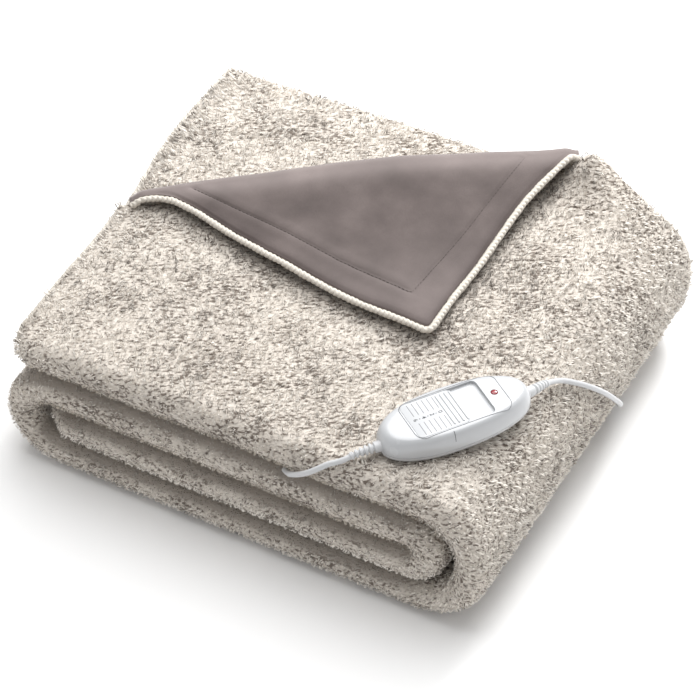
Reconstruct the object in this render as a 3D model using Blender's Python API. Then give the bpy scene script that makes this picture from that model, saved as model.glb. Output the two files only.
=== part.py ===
"""Electric heated blanket, folded, with its hand control lying on top.

The cloth is one long strip of plush. It is first folded in three across its width, like a letter, which
gives a bundle of three plies with a round fold at the front. The bundle is then rolled up flat in four
layers, so its midline, seen from the front, is a flat spiral:

    top layer A  ->  outer right fold  ->  bottom layer D  ->  left fold
                 ->  layer B           ->  inner right fold ->  layer C

One corner of the uppermost ply is turned over, showing the lining. +X runs along the front edge to the
right, +Y to the back, +Z up. Construction sizes are measured from the front left corner of the stack, and
the last step moves everything so that the origin is the middle of the footprint, on the floor.
"""

import math

import bmesh
import bpy
import numpy as np

# ---------------------------------------------------------------------------- driving dimensions, metres
STACK_HEIGHT = 0.1445
FRONT_BULGE = 0.0085        # how far the round front folds stand out past the front line
BACK_DEPTH = 0.422          # front line to the back fold of the bundle
UPPER_PLY_DEPTH = 0.412     # the free long edge lies a little inside the back fold
RIGHT_FOLD_X = 0.400        # where the layers end and the right folds begin
LEFT_FOLD_X = 0.0475
ORIGIN = (0.22705, 0.21382)  # middle of the footprint, from the front left corner

BUNDLE = 0.034              # three plies with their pile, before a layer squeezes or plumps them
PLY_PITCH = 0.0119
PLY_HALF = 0.0051
MIDDLE_PLY_END = 0.0155     # the inner free edge stops inside the front fold

# How far the soft cloth lies from the ideal stack
RIGHT_DEEPER = 0.030        # share by which the right end is deeper
BACK_LEFT_LEAN = 0.022      # how far the back left corner leans out at the top
CORNER_DROP = 0.007         # front left corner of the top
PILLOW_SWELL = 0.0025       # middle of the top
CORNER_RISE = 0.012         # top beside the right end of the turned corner
TOP_RIPPLE = 0.0012

# One row for each layer of the stack: its underside and its thickness.
LAYERS = {
    "A": {"under": 0.1090, "thick": 0.0355},
    "B": {"under": 0.0685, "thick": 0.0385},
    "C": {"under": 0.0330, "thick": 0.0335},
    "D": {"under": 0.0000, "thick": 0.0310},
}
LAYER_A_START = 0.0085
LAYER_A_STEPS = 18
LAYER_C_END = 0.0375
# One row for each fold between layers: how plump it starts and ends, its roundness (2 is a circle), steps.
FOLDS = {
    "outer_right": {"first": 1.00, "last": 0.93, "power": 2.3, "steps": 12},
    "left": {"first": 0.95, "last": 1.04, "power": 2.0, "steps": 9},
    "inner_right": {"first": 1.06, "last": 0.94, "power": 2.0, "steps": 7},
}
CORNER_RADIUS = 0.022       # rounding of the cloth's corners, seen from above
END_PLUMP_A = 0.80          # how far a layer thins towards its cut end
END_PLUMP_C = 0.64

# The turned corner: the axis of its roll in plan, then its free edge as rows of the distance along the
# axis and the reach from it. The third column is the radius of the roll there.
CREASE_LEFT = (0.0175, 0.1900)
CREASE_RIGHT = (0.3500, 0.4080)
FLAP_ROWS = [
    # along, reach, roll radius
    (0.000, 0.0010, 0.0055),
    (0.014, 0.0012, 0.0056),
    (0.027, 0.0025, 0.0058),
    (0.041, 0.0085, 0.0061),
    (0.062, 0.0290, 0.0067),
    (0.090, 0.0620, 0.0076),
    (0.116, 0.0890, 0.0086),
    (0.144, 0.1150, 0.0097),
    (0.169, 0.1370, 0.0107),
    (0.195, 0.1590, 0.0117),
    (0.220, 0.1780, 0.0123),
    (0.2445, 0.1960, 0.0127),
    (0.269, 0.1560, 0.0129),
    (0.293, 0.1220, 0.0129),
    (0.310, 0.0960, 0.0128),
    (0.326, 0.0720, 0.0127),
    (0.342, 0.0500, 0.0124),
    (0.358, 0.0320, 0.0120),
    (0.377, 0.0130, 0.0115),
    (0.389, 0.0020, 0.0111),
    (0.3976, 0.0010, 0.0108),
]
TIP_ROW = 11
FLAP_HALF = 0.0043
FLAP_CLEAR = 0.0016
FLAP_SETTLE = 0.150         # distance from the roll at which the flap lies on the pile
FLAP_TAIL = 0.012           # overlap of the roll with the ply that it grows from

LINING_HALF = 0.00075
EDGING_RADIUS = 0.0032
GAP = 0.0003                # between separate pieces

# Hand control
HANDSET_AT = (0.398, 0.081)
HANDSET_HEADING = math.radians(55.0)
HANDSET_LENGTH = 0.142
HANDSET_WIDTH = 0.060
HANDSET_HEIGHT = 0.0265
HANDSET_SINK = 0.0030       # how deep it presses into the pile
DENT_CLEAR = 0.0020
PARTING_HEIGHT = 0.0090
WINDOW_WIDTH = 0.042
WINDOW_DEPTH = 0.0030
WINDOW_LEFT = -0.043        # along the control, from its middle
SLIDER_LENGTH = 0.0480
SLIDER_TRAVEL = 0.0230
SLIDER_CORNER = 0.005
RIB_COUNT = 4
RIB_PITCH = 0.0042
RIB_HEIGHT = 0.0008
LENS_ALONG = 0.0375
LENS_RADIUS = 0.0029

# Leads
CORD_RADIUS = 0.0025
RELIEF_UP = 0.0115
RELIEF_ROOT = 0.0054
RELIEF_TIP = 0.0033
COIL_AT = (0.352, 0.481)
COIL_TURNS_ACROSS = 4
COIL_LAYERS = 2
COIL_MEAN_RADIUS = 0.0295
COIL_UNDER = 0.0014
TIE_WIDTH = 0.008
TIE_HALF = 0.0004
PLUG_AT = (0.2525, 0.4610)
PLUG_HEADING = math.radians(180.0)
PLUG_LENGTH = 0.036
PLUG_THICK = 0.0140
PIN_RADIUS = 0.0020
PIN_LENGTH = 0.0190
PIN_SPACING = 0.0186

MM = 0.001
# Hand-chosen routes, millimetres from the front left corner of the stack.
BLANKET_LEAD_ROUTE = [
    (340.5, 5.3, 149.0), (336.5, 0.7, 147.0), (331.4, -2.0, 144.2), (325.3, -4.9, 141.6),
    (317.5, -9.1, 136.0), (309.1, -11.6, 129.2), (302.4, -11.6, 123.9), (296.0, -10.4, 119.0),
    (289.8, -8.2, 114.4), (285.0, -4.6, 110.6), (280.0, -0.9, 108.2),
]
MAINS_ROUTE = [
    (443.5, 165.5, 143.2), (445.4, 173.5, 139.2), (447.9, 181.5, 134.4), (451.6, 187.8, 130.2),
    (456.2, 193.4, 125.7), (459.8, 198.8, 121.0), (463.7, 204.8, 115.2), (467.2, 210.4, 109.5),
    (470.2, 217.3, 101.8), (472.9, 224.7, 93.2), (474.6, 232.6, 83.4), (475.2, 244.5, 68.5),
    (474.5, 256.0, 54.0), (471.0, 268.0, 39.8), (463.0, 282.0, 24.6), (453.2, 296.0, 12.2),
    (445.0, 310.5, 5.0), (441.2, 327.0, 2.9), (440.6, 352.0, 2.8), (441.2, 388.0, 2.8),
    (441.8, 414.0, 2.8), (440.2, 432.0, 2.8), (432.0, 446.0, 2.8), (418.0, 453.3, 3.1),
    (404.4, 460.0, 3.6), (397.0, 470.5, 3.9), (394.6, 482.0, 3.9),
]
TAIL_ROUTE = [
    (309.4, 487.0, 8.9), (309.2, 481.0, 8.9), (307.7, 473.4, 8.6), (303.3, 466.9, 8.0),
    (296.8, 462.6, 7.5), (289.0, 461.0, 7.3),
]


# --------------------------------------------------------------------------------------------- helpers
def clear_scene():
    for old in list(bpy.data.objects):
        bpy.data.objects.remove(old, do_unlink=True)


def material(name, colour, roughness, metallic=0.0):
    made = bpy.data.materials.new(name)
    made.use_nodes = True
    shader = made.node_tree.nodes["Principled BSDF"]
    shader.inputs["Base Color"].default_value = (*colour, 1.0)
    shader.inputs["Roughness"].default_value = roughness
    shader.inputs["Metallic"].default_value = metallic
    return made


def add_object(name, mesh, finish):
    made = bpy.data.objects.new(name, mesh)
    made.data.materials.append(finish)
    bpy.context.scene.collection.objects.link(made)
    return made


def set_origin(piece, place):
    """Gives a piece its origin at this place, with its points where they were."""
    shift = np.tile(np.asarray(place, float), len(piece.data.vertices))
    points = np.empty(len(shift))
    piece.data.vertices.foreach_get("co", points)
    piece.data.vertices.foreach_set("co", points - shift)
    piece.location = place


def mesh_from(name, points, faces, smooth=True):
    """A mesh of these points and faces, with every face turned outwards."""
    mesh = bpy.data.meshes.new(name)
    mesh.from_pydata([tuple(p) for p in np.asarray(points, float).tolist()], [], faces)
    work = bmesh.new()
    work.from_mesh(mesh)
    bmesh.ops.recalc_face_normals(work, faces=work.faces)
    work.to_mesh(mesh)
    work.free()
    if smooth:
        mesh.shade_smooth()
        mesh.set_sharp_from_angle(angle=math.radians(40))
    return mesh


def smoothstep(value):
    value = np.clip(value, 0.0, 1.0)
    return value * value * (3.0 - 2.0 * value)


def smooth_route(route, spacing):
    """A centripetal Catmull-Rom curve through the route, read again at even spacing."""
    knots = np.asarray(route, float)
    first = 2 * knots[0] - knots[1]
    last = 2 * knots[-1] - knots[-2]
    padded = np.vstack([first, knots, last])
    dense = []
    for i in range(len(knots) - 1):
        p0, p1, p2, p3 = padded[i:i + 4]
        t1 = np.linalg.norm(p1 - p0) ** 0.5
        t2 = t1 + np.linalg.norm(p2 - p1) ** 0.5
        t3 = t2 + np.linalg.norm(p3 - p2) ** 0.5
        t = np.linspace(t1, t2, 24, endpoint=False)[:, None]
        a1 = p0 * (t1 - t) / t1 + p1 * t / t1
        a2 = p1 * (t2 - t) / (t2 - t1) + p2 * (t - t1) / (t2 - t1)
        a3 = p2 * (t3 - t) / (t3 - t2) + p3 * (t - t2) / (t3 - t2)
        b1 = a1 * (t2 - t) / t2 + a2 * t / t2
        b2 = a2 * (t3 - t) / (t3 - t1) + a3 * (t - t1) / (t3 - t1)
        dense.append(b1 * (t2 - t) / (t2 - t1) + b2 * (t - t1) / (t2 - t1))
    dense = np.vstack(dense + [knots[-1:]])
    along = np.r_[0.0, np.cumsum(np.linalg.norm(np.diff(dense, axis=0), axis=1))]
    count = max(2, int(round(along[-1] / spacing)) + 1)
    even = np.linspace(0.0, along[-1], count)
    return np.column_stack([np.interp(even, along, dense[:, k]) for k in range(3)])


def tube(name, points, radius, resolution, finish):
    """A round cord: a poly curve with a bevel and filled caps."""
    curve = bpy.data.curves.new(name, "CURVE")
    curve.dimensions = "3D"
    curve.bevel_depth = radius
    curve.bevel_resolution = resolution
    curve.use_fill_caps = True
    line = curve.splines.new("POLY")
    line.points.add(len(points) - 1)
    for knot, place in zip(line.points, points):
        knot.co = (*place, 1.0)
    return add_object(name, curve, finish)


# ------------------------------------------------------------------------------------ how the stack lies
def settle(points):
    """Moves points of the ideal stack to where the soft cloth really lies.

    The stack is deeper at its right end, its back left corner leans out, and the top is a low pillow
    that drops at the front left corner, rises by the turned corner and stays level by the hand control.
    The underside stays flat, because every lift grows from nothing at the top of the lowest layer.
    """
    points = np.array(points, float)
    x, y, z = points[..., 0].copy(), points[..., 1].copy(), points[..., 2].copy()
    floor_layer = LAYERS["D"]["thick"]
    deepest = smoothstep(x / 0.36) * (1.0 - 0.8 * smoothstep((x - 0.365) / 0.05))
    height = np.clip((z - floor_layer) / (STACK_HEIGHT - floor_layer), 0.0, 1.3)
    along = np.clip(x / 0.47, 0.0, 1.0)
    deep = np.clip(y / BACK_DEPTH, 0.0, 1.0)

    points[..., 1] = y * (1.0 + RIGHT_DEEPER * deepest)
    back_left = smoothstep((y - 0.14) / 0.20) * (1.0 - smoothstep(x / 0.30))
    points[..., 0] = x - BACK_LEFT_LEAN * back_left * (0.3 + 0.7 * height)

    drop = CORNER_DROP * np.exp(-((x / 0.060) ** 2) - (y / 0.070) ** 2)
    swell = PILLOW_SWELL * np.sin(np.pi * along) * np.sin(np.pi * deep)
    rise = CORNER_RISE * np.exp(-(((x - 0.372) / 0.030) ** 2) - ((y - 0.425) / 0.060) ** 2)
    ripple = TOP_RIPPLE * np.sin(x / 0.034 + 1.0) * np.cos(y / 0.047)
    lift = height * (swell + rise + ripple - drop)

    reach = np.hypot((x - HANDSET_AT[0]) / 0.075, (y - HANDSET_AT[1]) / 0.090)
    lift = lift * smoothstep(reach - 0.6)
    points[..., 2] = z + lift
    return points


# ------------------------------------------------------------------------------------- spiral of layers
def layer_middle(name):
    return LAYERS[name]["under"] + LAYERS[name]["thick"] / 2


def layer_plump(name):
    return LAYERS[name]["thick"] / BUNDLE


def straight(name, x_from, x_to, steps, plump_from, plump_to):
    """Stations along one layer: x, z, outward x, outward z, plumpness. The blend sits near each end."""
    t = np.linspace(0.0, 1.0, steps)
    x = x_from + (x_to - x_from) * t
    run = abs(x_to - x_from) * np.minimum(t, 1.0 - t)
    near = smoothstep(run / 0.045)
    ends = np.where(t < 0.5, plump_from, plump_to)
    plump = ends + (layer_plump(name) - ends) * near
    facing = math.copysign(1.0, x_to - x_from)
    level = np.full(steps, layer_middle(name))
    return np.column_stack([x, level, np.zeros(steps), np.full(steps, facing), plump])


def fold(name, centre_x, z_from, z_to, side):
    """Stations round a half fold that joins two heights: a half superellipse of the row's power."""
    row = FOLDS[name]
    power = row["power"]
    reach = abs(z_from - z_to) / 2
    middle = (z_from + z_to) / 2
    angle = np.linspace(0.0, math.pi, row["steps"] + 1)[1:-1]
    radial = (np.abs(np.cos(angle)) ** power + np.sin(angle) ** power) ** (-1.0 / power)
    up = math.copysign(1.0, z_from - z_to)
    out_x = radial * np.sin(angle)
    out_z = radial * np.cos(angle) * up
    normal_x = np.abs(out_x) ** (power - 1.0) * side
    normal_z = np.abs(out_z) ** (power - 1.0) * np.sign(out_z)
    size = np.hypot(normal_x, normal_z)
    return np.column_stack([
        centre_x + side * reach * out_x,
        middle + reach * out_z,
        normal_x / size,
        normal_z / size,
        row["first"] + (row["last"] - row["first"]) * smoothstep(angle / math.pi),
    ])


def spiral():
    """The midline of the bundle as rows of x, z, outward x, outward z, plumpness, from A's end to C's."""
    a, b, c = (layer_middle(name) for name in "ABC")
    outer, left, inner = (FOLDS[name] for name in ("outer_right", "left", "inner_right"))
    inner_x = RIGHT_FOLD_X - 0.003
    end_a = END_PLUMP_A * layer_plump("A")
    end_c = END_PLUMP_C * layer_plump("C")
    return np.vstack([
        straight("A", LAYER_A_START, RIGHT_FOLD_X, LAYER_A_STEPS, end_a, outer["first"]),
        fold("outer_right", RIGHT_FOLD_X, a, outer["last"] * BUNDLE / 2, 1.0),
        straight("D", RIGHT_FOLD_X, LEFT_FOLD_X, 8, outer["last"], left["first"]),
        fold("left", LEFT_FOLD_X, left["first"] * BUNDLE / 2, b, -1.0),
        straight("B", LEFT_FOLD_X, inner_x, 8, left["last"], inner["first"]),
        fold("inner_right", inner_x, b, c, 1.0),
        straight("C", inner_x, LAYER_C_END, 7, inner["last"], end_c),
    ])


def pinned_bottom(stations):
    """Keeps the lowest layer's underside flat on the floor, whatever its plumpness."""
    stations = stations.copy()
    lowest = (stations[:, 3] < -0.999) & (stations[:, 1] < LAYERS["C"]["under"])
    stations[lowest, 1] = stations[lowest, 4] * BUNDLE / 2
    return stations


def front_inset(stations):
    """How far the front fold draws back near a cut end, which rounds the cloth's corner."""
    steps = np.r_[0.0, np.cumsum(np.hypot(*np.diff(stations[:, :2], axis=0).T))]
    inset = np.zeros(len(stations))
    for run in (steps, steps[-1] - steps):
        reach = np.clip(CORNER_RADIUS - run, 0.0, CORNER_RADIUS)
        inset += CORNER_RADIUS - np.sqrt(CORNER_RADIUS ** 2 - reach ** 2)
    return np.minimum(inset, 0.75 * CORNER_RADIUS)


def crease_depth(x):
    """Depth of the turned corner's roll axis at this x."""
    slope = (CREASE_RIGHT[1] - CREASE_LEFT[1]) / (CREASE_RIGHT[0] - CREASE_LEFT[0])
    return CREASE_LEFT[1] + (x - CREASE_LEFT[0]) * slope


def letter_fold(free_edge):
    """The cloth's midline across the bundle as rows of depth, height, outward depth, outward height.

    It runs from the upper ply's free edge at the back, round the front fold to the lowest ply, and
    round the back fold to the middle ply, which ends just behind the front fold.
    """
    front = BUNDLE / 2 - FRONT_BULGE
    back_radius = PLY_PITCH / 2
    back = BACK_DEPTH - back_radius - PLY_HALF
    between = (0.67 * back, 0.34 * back)
    rows = [(free_edge, PLY_PITCH, 0.0, 1.0)]
    for share in (0.67, 0.34):
        rows.append((front + (free_edge - front) * share, PLY_PITCH, 0.0, 1.0))
    for turn in np.linspace(0.0, math.pi, 8):
        forward, upward = math.sin(turn), math.cos(turn)
        rows.append((front - PLY_PITCH * forward, PLY_PITCH * upward, -forward, upward))
    for depth in between[::-1]:
        rows.append((depth, -PLY_PITCH, 0.0, -1.0))
    for turn in np.linspace(0.0, math.pi, 5):
        rows.append((
            back + back_radius * math.sin(turn),
            -back_radius - back_radius * math.cos(turn),
            math.sin(turn),
            -math.cos(turn),
        ))
    for depth in between:
        rows.append((depth, 0.0, 0.0, 1.0))
    rows.append((MIDDLE_PLY_END, 0.0, 0.0, 1.0))
    return np.array(rows)


def cloth_point(station, inset, depth, height):
    """A point of the ideal stack from its place along the spiral and across the bundle."""
    x, z, out_x, out_z, plump = station
    drawn_back = inset * min(1.0, max(0.0, 1.0 - depth / 0.05))
    return (x + out_x * height * plump, depth + drawn_back, z + out_z * height * plump)


def make_blanket(finish):
    """The plush cloth: the letter fold carried along the spiral, as one closed strip with round edges."""
    stations = pinned_bottom(spiral())
    insets = front_inset(stations)
    rings = []
    for index, (station, inset) in enumerate(zip(stations, insets)):
        edge = UPPER_PLY_DEPTH
        if index < LAYER_A_STEPS:
            edge = min(edge, float(crease_depth(station[0])))
        middle = letter_fold(edge)
        fur = middle[:, :2] + PLY_HALF * middle[:, 2:]
        lined = middle[:, :2] - PLY_HALF * middle[:, 2:]
        last = middle[-1, :2] - (0.8 * PLY_HALF, 0.0)
        first = middle[0, :2] + (0.8 * PLY_HALF, 0.0)
        ring = [*fur, last, *lined[::-1], first]
        rings.append([cloth_point(station, inset, depth, height) for depth, height in ring])
    count = len(rings[0])
    rows = (count - 2) // 2
    faces = []
    for i in range(len(rings) - 1):
        for j in range(count):
            k = (j + 1) % count
            low, low_next = i * count + j, i * count + k
            high, high_next = low + count, low_next + count
            # One and the same diagonal in plan keeps plies that lie on each other parallel.
            if rings[i][k][1] < rings[i][j][1]:
                faces += [(low, low_next, high_next), (low, high_next, high)]
            else:
                faces += [(low, low_next, high), (low_next, high_next, high)]
    for start in (0, (len(rings) - 1) * count):
        for j in range(rows - 1):
            opposite = 2 * rows - j
            faces.append((start + j, start + j + 1, start + opposite - 1, start + opposite))
        faces.append((start + rows - 1, start + rows, start + rows + 1))
        faces.append((start, start + 2 * rows, start + 2 * rows + 1))
    points = settle(np.array(rings).reshape(-1, 3))
    return add_object("blanket", mesh_from("blanket", points, faces), finish)


# ---------------------------------------------------------------------------------- the turned corner
def crease_frame():
    """The roll axis: where it starts, its direction in plan and the direction in which the flap lies."""
    left = np.array(CREASE_LEFT)
    run = np.array(CREASE_RIGHT) - left
    along = run / np.linalg.norm(run)
    return left, along, np.array([along[1], -along[0]])


def roll_radius(s):
    return float(np.interp(s, *np.array(FLAP_ROWS).T[[0, 2]]))


def upper_ply_height():
    return layer_middle("A") + PLY_PITCH * layer_plump("A")


def flap_point(s, q, turn, offset):
    """A point of the turned corner: on the roll where turn is under 180 degrees, and past it on the flap.

    The roll is a half circle from the ply up to the flap, bulging away from the flap. The flap then
    comes down over FLAP_SETTLE until it lies on the pile. offset is measured towards the lining.
    """
    left, along, across = crease_frame()
    radius = roll_radius(s)
    base = upper_ply_height()
    if turn < math.pi:
        out = (radius + offset)
        place = left + along * s - across * out * math.sin(turn)
        return (*place, base + radius - out * math.cos(turn))
    resting = STACK_HEIGHT + FLAP_CLEAR + FLAP_HALF
    high = base + 2 * radius
    lowered = high + (resting - high) * float(smoothstep(q / FLAP_SETTLE))
    place = left + along * s + across * q
    return (*place, lowered + offset)


def bent_sheet(name, first_step, tail, inner, outer, shorten, finish):
    """A sheet that follows the roll and the flap, between two offsets from their midline.

    Every sheet uses the same steps round the roll and over the flap, and the same diagonals, so that
    two sheets one above the other stay parallel.
    """
    turns = np.linspace(0.0, math.pi, 9)[first_step:-1]
    across = crease_frame()[2]
    shares = np.linspace(0.0, 1.0, 7)
    rows = []
    for s, reach, _ in FLAP_ROWS:
        sides = []
        for offset in (outer, inner):
            line = []
            if tail:
                x, y, z = flap_point(s, 0.0, 0.0, offset * 0.9)
                line.append((x + across[0] * tail, y + across[1] * tail, z))
            line += [flap_point(s, 0.0, turn, offset) for turn in turns]
            line += [flap_point(s, min(reach * share, reach - shorten), math.pi, offset) for share in shares]
            sides.append(line)
        rows.append(sides[0] + sides[1][::-1])
    count = len(rows[0])
    half = count // 2
    faces = []
    for i in range(len(rows) - 1):
        for j in range(count):
            k = (j + 1) % count
            low, high = (i * count + j, i * count + k), ((i + 1) * count + j, (i + 1) * count + k)
            if j < half:
                faces += [(low[0], low[1], high[1]), (low[0], high[1], high[0])]
            else:
                faces += [(low[0], low[1], high[0]), (low[1], high[1], high[0])]
    for start in (0, (len(rows) - 1) * count):
        for j in range(half - 1):
            faces.append((start + j, start + j + 1, start + count - 2 - j, start + count - 1 - j))
    points = settle(np.array(rows).reshape(-1, 3))
    return add_object(name, mesh_from(name, points, faces), finish)


def join_flap(blanket, finish):
    """Unites the turned corner with the ply that it is part of."""
    flap = bent_sheet("turned_corner", 0, FLAP_TAIL, -FLAP_HALF, FLAP_HALF, 0.0, finish)
    flap.hide_render = True
    flap.display_type = "WIRE"
    union = blanket.modifiers.new("turned corner", "BOOLEAN")
    union.operation = "UNION"
    union.solver = "EXACT"
    union.object = flap


def press_dent(blanket):
    """The hand control's dent in the pile: the shape of its base, a little larger, with sloping sides."""
    floor = -GAP
    wide = 1.0 + 2 * DENT_CLEAR / HANDSET_WIDTH
    long = 1.0 + 2 * DENT_CLEAR / HANDSET_LENGTH
    rows = ((floor, 0.86, 0.84), (0.0012, long - 0.03, wide - 0.06), (0.0200, long + 0.10, wide + 0.20))
    rings = [handset_point(*handset_outline((row[1], row[2]), 20).T, row[0]) for row in rows]
    cut(blanket, "dent", *skin(rings))


def make_lining(finish):
    """The smooth lining, where the turned corner shows it."""
    inner = FLAP_HALF + GAP
    outer = inner + 2 * LINING_HALF
    bent_sheet("lining_corner", 2, 0.0, inner, outer, 0.0004, finish)


# -------------------------------------------------------------------------------------------- edging
def end_binding_path():
    """Along the cut end of layer A: up the folded plies to where the turned corner starts."""
    stations = pinned_bottom(spiral())
    station = stations[0].copy()
    station[0] -= EDGING_RADIUS + GAP
    inset = front_inset(stations)[0]
    middle = letter_fold(crease_depth(LAYER_A_START) + 0.0075)[::-1, :2]
    return [cloth_point(station, inset, depth, height) for depth, height in middle]


def flap_binding_path():
    """Round the roll's left end, along the free edge of the turned corner and round the roll's right end."""
    left, along, across = crease_frame()
    clear = EDGING_RADIUS + GAP
    lifted = FLAP_HALF * 0.35
    roll_turns = np.linspace(0.95, math.pi * 0.90, 4)
    edge = np.array(FLAP_ROWS)[:, :2]
    length = edge[-1, 0]

    def past_end(s, turn, way):
        x, y, z = flap_point(s, 0.0, turn, lifted)
        return (x + way * along[0] * clear, y + way * along[1] * clear, z)

    def beyond(s, q, bearing, further=1.0):
        """A point clear of the flap's edge at (s, q); the bearing is measured from across to along."""
        x, y, z = flap_point(s, q, math.pi, lifted)
        shift = (across * math.cos(bearing) + along * math.sin(bearing)) * clear * further
        return (x + shift[0], y + shift[1], z)

    runs = np.diff(edge, axis=0)
    bearings = -np.arctan2(runs[:, 1], runs[:, 0])
    path = [past_end(0.0, turn, -1.0) for turn in roll_turns]
    path += [beyond(*edge[0], bearing) for bearing in np.linspace(-1.45, bearings[0], 3)]
    for row in range(1, len(edge) - 1):
        if row == TIP_ROW:
            for share in (0.0, 0.5, 1.0):
                turned = bearings[row - 1] + (bearings[row] - bearings[row - 1]) * share
                path.append(beyond(*edge[row], turned, 1.12))
        else:
            path.append(beyond(*edge[row], (bearings[row - 1] + bearings[row]) / 2))
    path += [beyond(*edge[-1], bearing) for bearing in np.linspace(bearings[-1], 1.45, 3)]
    path += [past_end(length, turn, 1.0) for turn in roll_turns[::-1]]
    return path


def long_binding_path():
    """Along the free long edge at the back, all the way round the spiral."""
    stations = pinned_bottom(spiral())
    clear = EDGING_RADIUS + GAP + 0.8 * PLY_HALF
    path = []
    for index, station in enumerate(stations):
        if index >= LAYER_A_STEPS or station[0] > CREASE_RIGHT[0] + 0.008:
            path.append(cloth_point(station, 0.0, UPPER_PLY_DEPTH + clear, PLY_PITCH))
    return path


def make_edging(finish):
    """One knobbly overcast binding that follows the cloth's free edges."""
    path = np.array(end_binding_path() + flap_binding_path() + long_binding_path())
    tube("edging", settle(path), EDGING_RADIUS, 1, finish)


# ------------------------------------------------------------------------------------- hand control
def handset_floor():
    return STACK_HEIGHT - HANDSET_SINK + GAP


def handset_outline(share, steps=36):
    """An egg seen from above: a superellipse, narrower towards the end that faces the blanket's lead."""
    angle = np.linspace(0.0, 2 * math.pi, steps, endpoint=False)
    power = 2.45
    radial = (np.abs(np.cos(angle)) ** power + np.abs(np.sin(angle)) ** power) ** (-1.0 / power)
    along = radial * np.cos(angle)
    taper = 1.0 + 0.10 * along - 0.04 * along ** 2
    half_length = HANDSET_LENGTH / 2 * share[0]
    half_width = HANDSET_WIDTH / 2 * share[1]
    return np.column_stack([along * half_length, radial * np.sin(angle) * half_width * taper])


def handset_point(along, side, up):
    """From the control's own frame (towards the lens, towards the far side, up) to the stack's."""
    cos_h, sin_h = math.cos(HANDSET_HEADING), math.sin(HANDSET_HEADING)
    x = HANDSET_AT[0] + along * cos_h - side * sin_h
    y = HANDSET_AT[1] + along * sin_h + side * cos_h
    return np.stack(np.broadcast_arrays(x, y, handset_floor() + up), axis=-1)


def loft(name, levels, finish):
    """A closed solid through level outlines: rows of height, share of length and share of width."""
    rings = [handset_point(*handset_outline((row[1], row[2])).T, row[0]) for row in levels]
    points, faces = skin(rings)
    return add_object(name, mesh_from(name, points, faces), finish)


def rounded_plate(length_from, length_to, width, corner_low, corner_high, up_from, up_to):
    """Points and faces of a flat plate in the control's frame, with a radius for each end's corners."""
    outline = []
    for centre_x, corner, start in (
        (length_to - corner_high, corner_high, 0.0),
        (length_from + corner_low, corner_low, math.pi),
    ):
        for quarter in (0, 1):
            side = 1.0 if (quarter == 0) == (start > 0.0) else -1.0
            for turn in np.linspace(0.0, math.pi / 2, 4 if corner > MM else 1):
                angle = start + (quarter - 1) * math.pi / 2 + turn
                outline.append((
                    centre_x + corner * math.cos(angle),
                    math.copysign(width / 2 - corner, math.sin(angle) if corner > MM else side)
                    + (corner * math.sin(angle) if corner > MM else 0.0),
                ))
    outline = np.array(outline)
    order = np.argsort(np.arctan2(outline[:, 1], outline[:, 0] - (length_from + length_to) / 2))
    outline = outline[order]
    count = len(outline)
    points = np.vstack([handset_point(*outline.T, up_from), handset_point(*outline.T, up_to)])
    faces = [tuple(range(count)), tuple(range(count, 2 * count))]
    for j in range(count):
        k = (j + 1) % count
        faces.append((j, k, count + k, count + j))
    return points, faces


def cut(target, name, points, faces):
    cutter = bpy.data.objects.new(name, mesh_from(name, points, faces, smooth=False))
    bpy.context.scene.collection.objects.link(cutter)
    cutter.hide_render = True
    cutter.display_type = "WIRE"
    boolean = target.modifiers.new(name, "BOOLEAN")
    boolean.operation = "DIFFERENCE"
    boolean.solver = "EXACT"
    boolean.object = cutter


def disc(along, side, radius, up_from, up_to, steps=20):
    """Points and faces of an upright round plug in the control's frame."""
    angle = np.linspace(0.0, 2 * math.pi, steps, endpoint=False)
    low = handset_point(along + radius * np.cos(angle), side + radius * np.sin(angle), up_from)
    high = handset_point(along + radius * np.cos(angle), side + radius * np.sin(angle), up_to)
    faces = [tuple(range(steps)), tuple(range(steps, 2 * steps))]
    for j in range(steps):
        k = (j + 1) % steps
        faces.append((j, k, steps + k, steps + j))
    return np.vstack([low, high]), faces


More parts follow.
